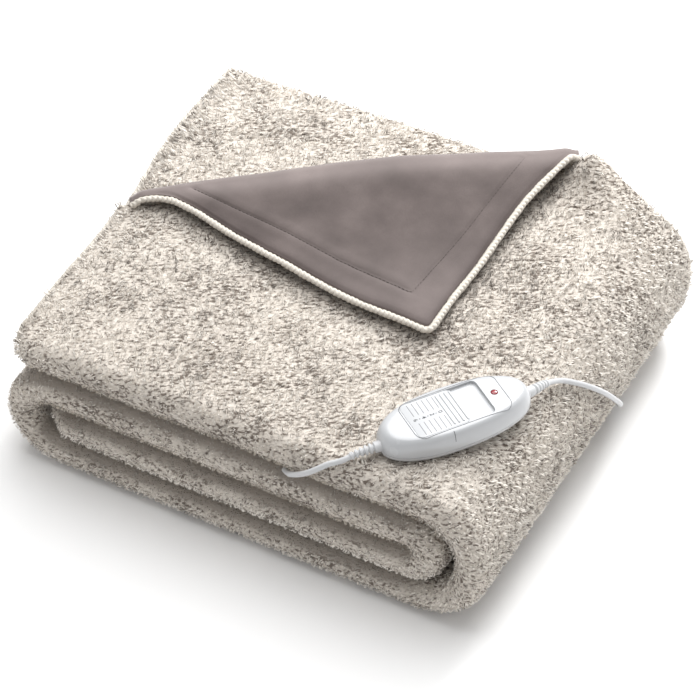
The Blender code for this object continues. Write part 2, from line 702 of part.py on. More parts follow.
def make_handset(shell, slider_finish, lens_finish):
    """Lower and upper shells, the sliding heat switch in its window and the round indicator lens."""
    loft("handset_base", [
        (0.0000, 0.80, 0.70),
        (0.0022, 0.91, 0.86),
        (0.0055, 0.975, 0.965),
        (PARTING_HEIGHT - GAP, 0.995, 0.995),
    ], shell)
    cover = loft("handset_cover", [
        (PARTING_HEIGHT, 1.000, 1.000),
        (0.0140, 0.992, 0.985),
        (0.0190, 0.968, 0.945),
        (0.0230, 0.925, 0.880),
        (0.0255, 0.870, 0.810),
        (HANDSET_HEIGHT, 0.800, 0.750),
    ], shell)
    top = HANDSET_HEIGHT
    window_right = WINDOW_LEFT + SLIDER_LENGTH + SLIDER_TRAVEL + 0.0006
    pocket = rounded_plate(
        WINDOW_LEFT, window_right, WINDOW_WIDTH, SLIDER_CORNER, 0.0, top - WINDOW_DEPTH, top + 0.004
    )
    cut(cover, "slider_window", *pocket)
    cut(cover, "lens_hole", *disc(LENS_ALONG, 0.0, LENS_RADIUS + GAP, top - 0.0032, top + 0.004))

    left = WINDOW_LEFT + GAP
    right = WINDOW_LEFT + SLIDER_LENGTH
    plate = rounded_plate(
        left, right, WINDOW_WIDTH - 2 * GAP, SLIDER_CORNER - GAP, 0.0, top - WINDOW_DEPTH + GAP, top - 0.0001
    )
    slider = add_object("heat_slider", mesh_from("heat_slider", *plate), slider_finish)
    set_origin(slider, handset_point(0.0, 0.0, top - WINDOW_DEPTH))
    for index in range(RIB_COUNT):
        middle = right - 0.0030 - index * RIB_PITCH
        bar = rounded_plate(
            middle - 0.0008, middle + 0.0008, WINDOW_WIDTH - 0.006, 0.0, 0.0, top - 0.0012, top + RIB_HEIGHT
        )
        rib = bpy.data.objects.new(f"rib_{index}", mesh_from(f"rib_{index}", *bar, smooth=False))
        bpy.context.scene.collection.objects.link(rib)
        rib.hide_render = True
        rib.display_type = "WIRE"
        union = slider.modifiers.new(f"rib {index}", "BOOLEAN")
        union.operation = "UNION"
        union.solver = "EXACT"
        union.object = rib

    points, faces = disc(LENS_ALONG, 0.0, LENS_RADIUS, top - 0.0029, top + 0.0004)
    dome = np.mean(points[20:], axis=0)
    crown = dome + (points[20:] - dome) * 0.62 + (0.0, 0.0, 0.0007)
    points = np.vstack([points, crown])
    faces = faces[:1] + faces[2:]
    for j in range(20):
        k = (j + 1) % 20
        faces.append((20 + j, 20 + k, 40 + k, 40 + j))
    faces.append(tuple(range(40, 60)))
    add_object("indicator_lens", mesh_from("indicator_lens", points, faces), lens_finish)


# --------------------------------------------------------------------------------- reliefs and leads
def ring_of(centre, side, up, radius, steps):
    angle = np.linspace(0.0, 2 * math.pi, steps, endpoint=False)[:, None]
    return np.array(centre) + radius * (np.cos(angle) * side + np.sin(angle) * up)


def skin(rings):
    """Points and faces of a closed solid through rings of equal count."""
    count = len(rings[0])
    faces = [tuple(range(count)), tuple(range((len(rings) - 1) * count, len(rings) * count))]
    for i in range(len(rings) - 1):
        for j in range(count):
            k = (j + 1) % count
            faces.append((i * count + j, i * count + k, (i + 1) * count + k, (i + 1) * count + j))
    return np.vstack(rings), faces


def turned(name, start, end, profile, finish, steps=14):
    """A solid of revolution between two points: rows of share along the axis and radius."""
    start = np.array(start, float)
    axis = np.array(end, float) - start
    length = np.linalg.norm(axis)
    axis /= length
    side = np.cross(axis, (0.0, 0.0, 1.0))
    side /= np.linalg.norm(side)
    up = np.cross(side, axis)
    rings = [ring_of(start + axis * length * share, side, up, radius, steps) for share, radius in profile]
    points, faces = skin(rings)
    return add_object(name, mesh_from(name, points, faces), finish)


def relief_profile(rib_count):
    """A tapered sleeve with round ribs: share along, radius."""
    rows = [(0.0, RELIEF_ROOT)]
    for rib in range(rib_count):
        start = 0.16 + 0.76 * rib / rib_count
        width = 0.76 / rib_count
        for part, proud in ((0.05, 1.0), (0.20, 0.80), (0.48, 0.80), (0.63, 1.0)):
            share = start + width * part
            rows.append((share, (RELIEF_ROOT + (RELIEF_TIP - RELIEF_ROOT) * share) * proud))
    rows.append((1.0, RELIEF_TIP))
    return rows


def make_relief(name, end_of_shell, outward, route, finish, steps=14):
    """A ribbed sleeve bent from the control's own axis into the direction in which its lead leaves."""
    exit_point = np.array(route[0]) * MM
    exit_way = np.array(route[1]) * MM - exit_point
    exit_way /= np.linalg.norm(exit_way)
    end = exit_point - exit_way * GAP
    root = handset_point(end_of_shell, 0.0, RELIEF_UP)
    root_way = handset_point(end_of_shell + outward, 0.0, RELIEF_UP) - root
    root_way /= np.linalg.norm(root_way)
    bend = np.linalg.norm(end - root)
    rings = []
    for share, radius in relief_profile(4):
        h = share
        place = (
            root * (2 * h ** 3 - 3 * h ** 2 + 1) + root_way * bend * (h ** 3 - 2 * h ** 2 + h)
            + end * (3 * h ** 2 - 2 * h ** 3) + exit_way * bend * (h ** 3 - h ** 2)
        )
        way = (
            root * (6 * h ** 2 - 6 * h) + root_way * bend * (3 * h ** 2 - 4 * h + 1)
            + end * (6 * h - 6 * h ** 2) + exit_way * bend * (3 * h ** 2 - 2 * h)
        )
        way /= np.linalg.norm(way)
        side = np.cross(way, (0.0, 0.0, 1.0))
        side /= np.linalg.norm(side)
        rings.append(ring_of(place, side, np.cross(side, way), radius, steps))
    points, faces = skin(rings)
    return add_object(name, mesh_from(name, points, faces), finish)


def make_reliefs(finish):
    """Bend reliefs where the two leads leave the hand control, each leaning a little down."""
    clear = HANDSET_LENGTH / 2 + GAP + 0.0002
    make_relief("relief_blanket_side", -clear, -1.0, BLANKET_LEAD_ROUTE, finish)
    make_relief("relief_mains_side", clear, 1.0, MAINS_ROUTE, finish)


def make_leads(cord_finish, tie_finish):
    """Both leads: the short one into the cloth, and the mains lead with its coil, tie and tail."""
    for name, route, spacing in (
        ("blanket_lead", BLANKET_LEAD_ROUTE, 0.0060),
        ("mains_lead", MAINS_ROUTE, 0.0110),
        ("mains_tail", TAIL_ROUTE, 0.0080),
    ):
        tube(name, smooth_route(np.array(route) * MM, spacing), CORD_RADIUS, 2, cord_finish)

    half = COIL_TURNS_ACROSS * CORD_RADIUS
    high = COIL_LAYERS * 2 * CORD_RADIUS
    inner = COIL_MEAN_RADIUS - half
    outer = COIL_MEAN_RADIUS + half
    soft = 0.0018
    section = [
        (outer, soft), (outer, high - soft), (outer - soft, high), (inner + soft, high),
        (inner, high - soft), (inner, soft), (inner + soft, 0.0), (outer - soft, 0.0),
    ]
    steps = 28
    points = []
    for turn in np.linspace(0.0, 2 * math.pi, steps, endpoint=False):
        for radius, up in section:
            points.append((
                COIL_AT[0] + radius * math.cos(turn), COIL_AT[1] + radius * math.sin(turn), COIL_UNDER + up
            ))
    count = len(section)
    faces = []
    for i in range(steps):
        for j in range(count):
            k = (j + 1) % count
            n = (i + 1) % steps
            faces.append((i * count + j, i * count + k, n * count + k, n * count + j))
    add_object("mains_coil", mesh_from("mains_coil", points, faces), cord_finish)
    make_tie(half, high, tie_finish)


def make_tie(half, high, finish):
    """A flat band round the coil's section, on the side towards the plug."""
    bands = []
    for extra in (GAP, GAP + 2 * TIE_HALF):
        bands.append([
            (COIL_MEAN_RADIUS + half + extra, -extra), (COIL_MEAN_RADIUS + half + extra, high + extra),
            (COIL_MEAN_RADIUS - half - extra, high + extra), (COIL_MEAN_RADIUS - half - extra, -extra),
        ])
    turn = math.radians(250)
    out = np.array([math.cos(turn), math.sin(turn)])
    side = np.array([-math.sin(turn), math.cos(turn)])
    bow = COIL_MEAN_RADIUS - half - math.sqrt((COIL_MEAN_RADIUS - half) ** 2 - (TIE_WIDTH / 2) ** 2)
    points = []
    for end in (-0.5, 0.5):
        for band in bands:
            for radius, up in band:
                reach = radius - (bow if radius < COIL_MEAN_RADIUS else 0.0)
                place = np.array(COIL_AT) + out * reach + side * TIE_WIDTH * end
                points.append((*place, COIL_UNDER + up))
    faces = []
    for j in range(4):
        k = (j + 1) % 4
        faces.append((j, k, 8 + k, 8 + j))
        faces.append((4 + j, 4 + k, 12 + k, 12 + j))
        faces.append((j, k, 4 + k, 4 + j))
        faces.append((8 + j, 8 + k, 12 + k, 12 + j))
    add_object("coil_tie", mesh_from("coil_tie", points, faces, smooth=False), finish)


def make_plug(body_finish, pin_finish):
    """A flat two-pin plug lying on the floor: a waisted body and two round pins."""
    heading = np.array([math.cos(PLUG_HEADING), math.sin(PLUG_HEADING), 0.0])
    side = np.array([-heading[1], heading[0], 0.0])
    centre = np.array([*PLUG_AT, PLUG_THICK / 2 + GAP])
    # One row for each section: distance from the pin face, half width, half thickness.
    sections = [
        (0.0000, 0.0155, 0.0060), (0.0010, 0.0170, 0.0069), (0.0130, 0.0175, 0.0070),
        (0.0220, 0.0150, 0.0066), (0.0290, 0.0095, 0.0056), (0.0355, 0.0045, 0.0042),
        (PLUG_LENGTH, 0.0038, 0.0036),
    ]
    corner = [
        (1.0, 0.45), (0.72, 1.0), (-0.72, 1.0), (-1.0, 0.45),
        (-1.0, -0.45), (-0.72, -1.0), (0.72, -1.0), (1.0, -0.45),
    ]
    rings = []
    for back, half_width, half_thick in sections:
        rings.append(np.array([
            centre - heading * back + side * half_width * across + (0.0, 0.0, half_thick * up)
            for across, up in corner
        ]))
    points, faces = skin(rings)
    add_object("plug_body", mesh_from("plug_body", points, faces), body_finish)
    profile = [(0.0, PIN_RADIUS), (0.94, PIN_RADIUS), (1.0, PIN_RADIUS * 0.6)]
    for label, place in (("plug_pin_left", -0.5), ("plug_pin_right", 0.5)):
        root = centre + side * PIN_SPACING * place + heading * GAP
        tip = root + heading * PIN_LENGTH
        turned(label, root, tip, profile, pin_finish, 12)


def centre_everything():
    """Moves the finished pieces so that the origin is the middle of the footprint."""
    for piece in bpy.data.objects:
        piece.location.x -= ORIGIN[0]
        piece.location.y -= ORIGIN[1]


def main():
    clear_scene()
    plush = material("plush", (0.52, 0.46, 0.40), 0.95)
    lining = material("lining", (0.26, 0.22, 0.20), 0.85)
    binding = material("binding", (0.84, 0.80, 0.71), 0.80)
    shell = material("shell_plastic", (0.86, 0.87, 0.88), 0.30)
    slider_plastic = material("slider_plastic", (0.88, 0.89, 0.90), 0.35)
    red_lens = material("red_lens", (0.55, 0.03, 0.04), 0.15)
    cord = material("cord_sheath", (0.84, 0.85, 0.86), 0.40)
    tie = material("tie", (0.80, 0.80, 0.80), 0.60)
    pin_metal = material("pin_metal", (0.78, 0.72, 0.52), 0.25, 1.0)

    blanket = make_blanket(plush)
    join_flap(blanket, plush)
    press_dent(blanket)
    make_lining(lining)
    make_edging(binding)
    make_handset(shell, slider_plastic, red_lens)
    make_reliefs(shell)
    make_leads(cord, tie)
    make_plug(shell, pin_metal)
    centre_everything()


main()
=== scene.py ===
"""Looks of a folded electric heated blanket with its hand control.

Everything is worked out in the stack's own frame, in metres: X along the front edge from the front left
corner, Y back from the front line, Z up. `placed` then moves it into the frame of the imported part.
"""

import math

import bpy
import numpy as np
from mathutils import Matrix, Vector
from mathutils.bvhtree import BVHTree


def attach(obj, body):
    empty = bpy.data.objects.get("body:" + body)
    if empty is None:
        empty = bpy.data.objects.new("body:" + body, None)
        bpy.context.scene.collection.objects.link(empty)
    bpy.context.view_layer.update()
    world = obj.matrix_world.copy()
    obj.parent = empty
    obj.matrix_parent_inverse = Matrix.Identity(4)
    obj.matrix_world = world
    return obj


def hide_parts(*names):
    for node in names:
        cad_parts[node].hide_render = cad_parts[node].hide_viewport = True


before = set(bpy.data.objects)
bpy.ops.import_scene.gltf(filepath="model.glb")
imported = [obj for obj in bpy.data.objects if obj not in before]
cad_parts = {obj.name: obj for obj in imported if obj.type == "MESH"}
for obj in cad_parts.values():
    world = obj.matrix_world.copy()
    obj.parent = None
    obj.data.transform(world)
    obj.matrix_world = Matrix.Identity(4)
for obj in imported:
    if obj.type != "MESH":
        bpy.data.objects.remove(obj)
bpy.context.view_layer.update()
BODY = "blanket_set"
SWITCH = "switch"
ORIGIN = np.array([0.22705, 0.21382, 0.0])
MM = 0.001

# ---- how the cloth lies
STACK_HEIGHT = 0.1445
FRONT_BULGE = 0.0085
BACK_DEPTH = 0.422
UPPER_PLY_DEPTH = 0.412
RIGHT_FOLD_X = 0.400
LEFT_FOLD_X = 0.0475
BUNDLE = 0.034
PLY_PITCH = 0.0119
PLY_HALF = 0.0051
MIDDLE_PLY_END = 0.0155
LAYERS = {
    "A": {"under": 0.1090, "thick": 0.0355},
    "B": {"under": 0.0685, "thick": 0.0385},
    "C": {"under": 0.0330, "thick": 0.0335},
    "D": {"under": 0.0000, "thick": 0.0310},
}
LAYER_A_START = 0.0085
LAYER_A_STATIONS = 56
LAYER_C_END = 0.0375
FOLDS = {
    "outer_right": {"first": 1.00, "last": 0.93, "power": 2.3},
    "left": {"first": 0.95, "last": 1.04, "power": 2.0},
    "inner_right": {"first": 1.06, "last": 0.94, "power": 2.0},
}
CORNER_RADIUS = 0.022
CORNER_DEPTH = 0.05         # how far back from the front a cut end's corner is rounded off
END_PLUMP_A = 0.80
END_PLUMP_C = 0.64
CLOTH_HALF = 0.0014         # half the thickness of the cloth under its pile
PILE_GROUND = 0.0029        # how far out from its middle the cloth's dense lower pile is drawn

CREASE_LEFT = (0.0175, 0.1900)
CREASE_RIGHT = (0.3500, 0.4080)
FLAP_ROWS = [
    # along the roll, reach from it, radius of the roll
    (0.000, 0.0010, 0.0055), (0.014, 0.0012, 0.0056), (0.027, 0.0025, 0.0058), (0.041, 0.0085, 0.0061),
    (0.062, 0.0290, 0.0067), (0.090, 0.0620, 0.0076), (0.116, 0.0890, 0.0086), (0.144, 0.1150, 0.0097),
    (0.169, 0.1370, 0.0107), (0.195, 0.1590, 0.0117), (0.220, 0.1780, 0.0123), (0.2445, 0.1960, 0.0127),
    (0.269, 0.1560, 0.0129), (0.293, 0.1220, 0.0129), (0.310, 0.0960, 0.0128), (0.326, 0.0720, 0.0127),
    (0.342, 0.0500, 0.0124), (0.358, 0.0320, 0.0120), (0.377, 0.0130, 0.0115), (0.389, 0.0020, 0.0111),
    (0.3976, 0.0010, 0.0108),
]
FLAP_END = FLAP_ROWS[-1][0]
FLAP_HALF = 0.0043
FLAP_CLOTH = CLOTH_HALF * 2.2   # from the flap's middle out to the back of its lining
LINING_TURN = 0.55          # where round the roll the lining starts, in radians
ROLL_COLUMNS = 13           # columns of the flap's grid that lie on the roll
FLAP_CLEAR = 0.0016
FLAP_SETTLE = 0.150
GAP = 0.0003
# Rises and drops of the cloth in plan: height, place in x and y, reach in x and y.
FRONT_DROP = (0.007, 0.0, 0.0, 0.060, 0.070)
FLAP_RISE = (0.012, 0.372, 0.425, 0.030, 0.060)
# Small rises of the plush at the ends of the roll, in the same way.
PLUSH_RISES = [
    (0.0150, 0.368, 0.417, 0.027, 0.029), (0.0092, 0.409, 0.398, 0.021, 0.036),
    (0.0075, 0.359, 0.414, 0.010, 0.011), (0.0050, 0.010, 0.190, 0.014, 0.020),
]
# Ridges across the turned corner: height, place, reach. The roll's two tips bend down by theirs, the hem
# is puffed beside its seam, then a painted highlight on the crest and a darker tone beside the edging.
LEFT_TIP = (0.0062, 0.0, 0.0075)
RIGHT_TIP = (0.0058, 0.0, 0.0072)
HEM_PUFF = (0.0008, 0.006, 0.005)
HEM_GROOVE = (0.0011, 0.0, 0.0012)
CREST_HIGHLIGHT = (0.56, 0.002, 0.013)
EDGE_DARK = (0.19, 0.0, 0.009)
HEM_ROUND = 0.0016          # how far the lining is rounded down at its edging
# The lining's hem seam, as distance along the roll and reach from it.
HEM_SEAM = [
    (0.060, 0.0030), (0.122, 0.0585), (0.173, 0.1050), (0.2340, 0.1545), (0.284, 0.0900),
    (0.329, 0.0290), (0.350, 0.0),
]

# The creases between the front's rolls, where shade is painted: they lie before and below these, and fade
# out to the right.
SHADED_CREASE_FRONT = 0.045
SHADED_CREASE_TOP = 0.128
SHADED_CREASE_END = 0.385
SHADED_CREASE_FADE = 0.035

EDGING_RADIUS = 0.0029
STITCH_PITCH = 0.0062
HEM_STITCH = 0.0040
THREAD_RADIUS = 0.00030
THREAD_BOW = 0.00022

# ---- hand control
HANDSET_AT = (0.398, 0.081)
HANDSET_HEADING = math.radians(55.0)
HANDSET_LENGTH = 0.142
HANDSET_WIDTH = 0.060
HANDSET_TOP = 0.0265
HANDSET_FLOOR = STACK_HEIGHT - 0.0030 + GAP
PARTING = 0.0090
WINDOW = {"low": -0.043, "high": 0.0286, "width": 0.042, "corner": 0.005}
SHELL_POWER = 2.45          # of the outline's superellipse
# Shells, from below: height, share of the length, share of the width.
LOWER_SHELL = [
    (0.0000, 0.60, 0.50), (0.0002, 0.78, 0.69), (0.0012, 0.885, 0.815), (0.0030, 0.945, 0.915),
    (0.0058, 0.985, 0.975), (PARTING - 0.0010, 0.998, 0.998), (PARTING - GAP, 0.990, 0.990),
]
UPPER_SHELL = [
    (PARTING, 0.990, 0.990), (PARTING + 0.0010, 1.000, 1.000), (0.0135, 0.994, 0.990),
    (0.0175, 0.980, 0.970), (0.0208, 0.960, 0.942), (0.0234, 0.932, 0.908), (0.0254, 0.890, 0.862),
    (HANDSET_TOP, 0.820, 0.790), (HANDSET_TOP + 0.0002, 0.600, 0.540),
    (HANDSET_TOP + 0.0003, 0.300, 0.270), (HANDSET_TOP + 0.0003, 0.020, 0.020),
]
# The room under the control: share of its outline, height of the shell over its floor.
SHELL_BELLY = [
    (0.60, 0.0), (0.78, 0.0002), (0.885, 0.0012), (0.945, 0.0030), (0.985, 0.0058), (1.00, 0.0090),
    (1.02, 0.06),
]
# The switch's plate and its ribs, from below: height over the shell's top, how far drawn in.
SLIDER_EDGE = [(-0.0022, 0.0), (-0.0003, 0.0), (-0.00005, 0.0001), (0.0001, 0.0004)]
RIB_EDGE = [(-0.0006, 0.0), (0.0004, 0.0), (0.0007, 0.0002), (0.0008, 0.0004)]
SLIDER_LENGTH = 0.0480
RIB_PITCH = 0.0042
LENS_ALONG = 0.0375
LENS_RADIUS = 0.0029
LENS_HOLE = 0.0032
LENS_DEPTH = 0.0028         # how far the lens goes down into the shell
LENS_RIM = 0.0002
LENS_DOME = 0.0011
DIGITS = {"0": -0.0136, "2": -0.0213, "4": -0.0290, "6": -0.0367}
DIGIT_SIZE = 0.0054
PRINT_ROWS = (0.01175, -0.01175)
PRINT_ENDS = (-0.0360, -0.0125)
PANEL = (-0.0445, 0.0455, 0.0440, 0.0085)   # the groove's two ends, its width and its corners' radius
MARK_ACROSS = (0.0246, 0.0290)
GROOVE_RADIUS = 0.00032
MARK_RADIUS = 0.00024
MARK_LIFT = 0.00003

# ---- leads
CORD_RADIUS = 0.0025
RELIEF_UP = 0.0115
RELIEF_ROOT = 0.0054
RELIEF_TIP = 0.0033
RIBS_FROM = 0.24            # share of the sleeve before its first rib
RIB_SHARE = 0.14            # share of the sleeve that one rib takes
COIL_AT = (0.352, 0.481)
COIL_OUTER_TURN = 0.037     # radius of the outermost turn's middle line
COIL_PITCH = 0.005
COIL_UNDER = 0.0014
PLUG_AT = (0.2525, 0.4610)
PLUG_LENGTH = 0.036
PLUG_THICK = 0.0140
PIN_SPACING = 0.0186
# The plug's body from its face back: place, half the width, half the thickness.
PLUG_BODY = [
    (0.0, 0.0148, 0.0056), (0.0006, 0.0165, 0.0066), (0.002, 0.0171, 0.0069), (0.008, 0.0175, 0.0070),
    (0.014, 0.0173, 0.0070), (0.019, 0.0163, 0.0069), (0.024, 0.0142, 0.0065), (0.028, 0.0108, 0.0059),
    (0.0315, 0.0072, 0.0051), (0.0345, 0.0048, 0.0043), (PLUG_LENGTH, 0.0039, 0.0037),
]
# A pin from its root out: place, radius. The sleeve ends at about half of the way.
PIN_PROFILE = [
    (0.0, 0.0020), (0.0094, 0.0020), (0.0096, 0.0019), (0.0098, 0.00185), (0.0176, 0.00185),
    (0.0184, 0.0016), (0.0188, 0.0011), (0.0190, 0.0004),
]
BLANKET_LEAD_ROUTE = np.array([
    (340.5, 5.3, 149.0), (336.5, 0.7, 147.0), (331.4, -2.0, 144.2), (325.3, -4.9, 141.6),
    (317.5, -9.1, 136.0), (309.1, -11.6, 129.2), (302.4, -11.6, 123.9), (296.0, -10.4, 119.0),
    (289.8, -8.2, 114.4), (285.0, -4.6, 110.6), (280.0, -0.9, 108.2),
]) * MM
MAINS_ROUTE = np.array([
    (443.5, 165.5, 143.2), (445.4, 173.5, 139.2), (447.9, 181.5, 134.4), (451.6, 187.8, 130.2),
    (456.2, 193.4, 125.7), (459.8, 198.8, 121.0), (463.7, 204.8, 115.2), (467.2, 210.4, 109.5),
    (470.2, 217.3, 101.8), (472.9, 224.7, 93.2), (474.6, 232.6, 83.4), (475.2, 244.5, 68.5),
    (474.5, 256.0, 54.0), (471.0, 268.0, 39.8), (463.0, 282.0, 24.6), (453.2, 296.0, 12.2),
    (445.0, 310.5, 5.0), (441.2, 327.0, 2.9), (440.6, 352.0, 2.8), (441.2, 388.0, 2.8),
    (441.8, 414.0, 2.8), (440.2, 432.0, 2.8), (432.0, 446.0, 2.8), (418.0, 453.3, 3.1),
    (404.4, 460.0, 3.6), (397.0, 470.5, 3.9), (394.6, 482.0, 3.9),
]) * MM
TAIL_ROUTE = np.array([
    (309.4, 487.0, 8.9), (309.2, 481.0, 8.9), (307.7, 473.4, 8.6), (303.3, 466.9, 8.0),
    (296.8, 462.6, 7.5), (289.0, 461.0, 7.3),
]) * MM

# ---- pile
BLADES = 348000             # in all, shared out over what shows
BLADES_A_PIECE = 95000
BLADE_SHARES = (0.0, 0.42, 0.78, 1.0)   # how far up the pile a blade's four points are
PILE_LENGTH = 0.0039
FRONT_PILE = 0.0026         # the room for pile on the front
PILE_WIDTH = 0.00100
NAP_TURN = math.radians(28.0)   # the nap's way on the cloth, from the front round to the right
NAP_ACROSS = math.radians(28.5)
NAP_DRAWN = 0.45            # places are squeezed to this share across the nap, so that noise is long there
TUFT_SIZE = np.array([0.0038, 0.0072])
TUFT_SLANT = math.radians(24.0)
TUFT_DRAWS = 64             # the grid of tufts repeats after this many
TOP_LAYER = 0.110           # above this height the cloth is the top layer
FRONT_SIDE = 0.030          # nearer than this depth it is the front
BACK_SIDE = 0.415           # farther than this it is the back, which has BACK_SHARE of the blades
BACK_SHARE = 0.70
LEFT_END = 0.022            # the top layer's left end reaches this far to the right
MIDDLE_ROW = 60             # the row of the cloth's grid on which depth along the cloth is measured
RAY_START = 0.0006          # rays that look for open air start this far off the cloth
RAY_REACH = 0.06
NOISE_CELLS = 32
PILE_SEED = 41
SHADE_SEED = 77
# Ways in which each cell of the cloth is tried for open air.
VIEWED_FROM = [(0.0, -1.0, 0.25), (1.0, 0.0, 0.25), (0.0, 1.0, 0.25), (-1.0, 0.0, 0.25), (0.5, -0.7, 0.8)]

# ---- camera
SENSOR = 36.0               # in millimetres, as the lens is
LENS_LENGTH = 169.41
FAR_CLIP = 20.0
CAMERA_AT = (1.01607, -1.86887, 2.12878)
CAMERA_ROUND = 28.55        # degrees round to the right of the front
CAMERA_DOWN = 44.483        # degrees by which it looks down


def make_camera():
    """The photograph's viewpoint: a long lens, 28.6 degrees round to the right and 44.5 degrees up."""
    data = bpy.data.cameras.new("camera")
    data.sensor_width = SENSOR
    data.lens = LENS_LENGTH
    data.clip_end = FAR_CLIP
    camera = bpy.data.objects.new("camera", data)
    camera.location = CAMERA_AT
    camera.rotation_euler = (math.radians(90.0 - CAMERA_DOWN), 0.0, math.radians(CAMERA_ROUND))
    bpy.context.scene.collection.objects.link(camera)
    bpy.context.scene.camera = camera


# ---- helpers
def placed(points):
    """From the stack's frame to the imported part's."""
    return np.asarray(points, float) - ORIGIN


def smoothstep(value):
    """From 0 to 1 with level ends: three squares less two cubes of the value, clipped to 0 and 1."""
    value = np.clip(value, 0.0, 1.0)
    return value * value * (3.0 - 2.0 * value)


def unit(vectors):
    """The same directions at length 1."""
    return vectors / np.maximum(np.linalg.norm(vectors, axis=-1, keepdims=True), 1e-12)


def lattice_noise(points, size, seed):
    """Smooth noise from -1 to 1: random values on a cubic lattice of this size, blended between corners."""
    table = np.random.default_rng(seed).uniform(-1.0, 1.0, (NOISE_CELLS, NOISE_CELLS, NOISE_CELLS))
    scaled = np.asarray(points, float) / size
    corner = np.floor(scaled).astype(int)
    part = smoothstep(scaled - corner)
    total = 0.0
    for step in np.ndindex(2, 2, 2):
        cell = (corner + np.array(step)) % NOISE_CELLS
        share = np.abs(1 - np.array(step) - part)
        value = table[cell[..., 0], cell[..., 1], cell[..., 2]]
        total = total + value * (share[..., 0] * share[..., 1] * share[..., 2])
    return total


def smooth_route(route, spacing):
    """A smooth curve through the route's points, read again at even spacing.

    Between two points it is a cubic, blended from straight lines through its neighbours, with knots set
    apart by the square root of each step's length.
    """
    knots = np.asarray(route, float)
    padded = np.vstack([2 * knots[0] - knots[1], knots, 2 * knots[-1] - knots[-2]])
    dense = []
    for p0, p1, p2, p3 in zip(padded[:-3], padded[1:-2], padded[2:-1], padded[3:]):
        t1 = np.linalg.norm(p1 - p0) ** 0.5
        t2 = t1 + np.linalg.norm(p2 - p1) ** 0.5
        t3 = t2 + np.linalg.norm(p3 - p2) ** 0.5
        t = np.linspace(t1, t2, 24, endpoint=False)[:, None]
        a1 = p0 * (t1 - t) / t1 + p1 * t / t1
        a2 = p1 * (t2 - t) / (t2 - t1) + p2 * (t - t1) / (t2 - t1)
        a3 = p2 * (t3 - t) / (t3 - t2) + p3 * (t - t2) / (t3 - t2)
        b1 = a1 * (t2 - t) / t2 + a2 * t / t2
        b2 = a2 * (t3 - t) / (t3 - t1) + a3 * (t - t1) / (t3 - t1)
        dense.append(b1 * (t2 - t) / (t2 - t1) + b2 * (t - t1) / (t2 - t1))
    return even_path(np.vstack(dense + [knots[-1:]]), spacing)


def even_path(path, spacing):
    """The same path read again at even steps."""
    along = np.r_[0.0, np.cumsum(np.linalg.norm(np.diff(path, axis=0), axis=1))]
    count = max(2, int(round(along[-1] / spacing)) + 1)
    even = np.linspace(0.0, along[-1], count)
    return np.column_stack([np.interp(even, along, path[:, k]) for k in range(3)])


def circle(along, radius, steps):
    """A ring of points round a place on the control's long axis, in the control's frame."""
    angle = np.linspace(0.0, 2 * math.pi, steps, endpoint=False)
    return np.column_stack([along + np.cos(angle) * radius, np.sin(angle) * radius])


def rounded_ring(power, angle):
    """Across and up on a superellipse of this power, between a circle and a square, at each angle."""
    radial = (np.abs(np.cos(angle)) ** power + np.abs(np.sin(angle)) ** power) ** (-1.0 / power)
    return radial * np.cos(angle), radial * np.sin(angle)


def piece(name, shape, material, slot, node=None, body=BODY, smooth_angle=40.0):
    """One piece from a shape: points in the stack's frame, and one face array for each corner count.

    node is the CAD node that the piece takes the place of.
    """
    points, faces = shape
    mesh = bpy.data.meshes.new(name)
    loops = np.concatenate([f.ravel() for f in faces]).astype(np.int32)
    sizes = np.concatenate([np.full(len(f), f.shape[1]) for f in faces])
    mesh.vertices.add(len(points))
    mesh.vertices.foreach_set("co", placed(points).astype(np.float32).ravel())
    mesh.loops.add(len(loops))
    mesh.loops.foreach_set("vertex_index", loops)
    mesh.polygons.add(len(sizes))
    mesh.polygons.foreach_set("loop_start", np.r_[0, np.cumsum(sizes)[:-1]].astype(np.int32))
    mesh.polygons.foreach_set("use_smooth", np.full(len(sizes), smooth_angle > 0))
    mesh.update(calc_edges=True)
    mesh.validate()
    if 0 < smooth_angle < 180:
        mesh.set_sharp_from_angle(angle=math.radians(smooth_angle))
    mesh.materials.append(material)
    return finished(bpy.data.objects.new(name, mesh), slot, body, node)


def finished(made, slot, body, *nodes):
    """Links a piece, says which body carries it and which CAD nodes it replaces."""
    bpy.context.scene.collection.objects.link(made)
    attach(made, body)
    nodes = [node for node in nodes if node]
    if nodes:
        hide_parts(*nodes)
    return made


def label_points(made, name, values):
    """Gives each point of a piece a value that its material reads."""
    attribute = made.data.attributes.new(name, "FLOAT", "POINT")
    attribute.data.foreach_set("value", np.asarray(values, np.float32).ravel())


def grid_faces(rows, columns, wrap=False):
    """Quads of a grid of points stored row after row; wrap joins the last column to the first."""
    i = np.arange(rows - 1)[:, None] * columns
    j = np.arange(columns if wrap else columns - 1)[None, :]
    k = (j + 1) % columns
    return np.stack([i + j, i + k, i + columns + k, i + columns + j], -1).reshape(-1, 4)


def merged(parts):
    """Several (points, faces) surfaces as one."""
    points, faces, start = [], [], 0
    for part_points, part_faces in parts:
        points.append(np.asarray(part_points).reshape(-1, 3))
        faces += [f + start for f in part_faces]
        start += len(points[-1])
    by_corners = {}
    for f in faces:
        by_corners.setdefault(f.shape[1], []).append(f)
    return np.vstack(points), [np.vstack(same) for same in by_corners.values()]


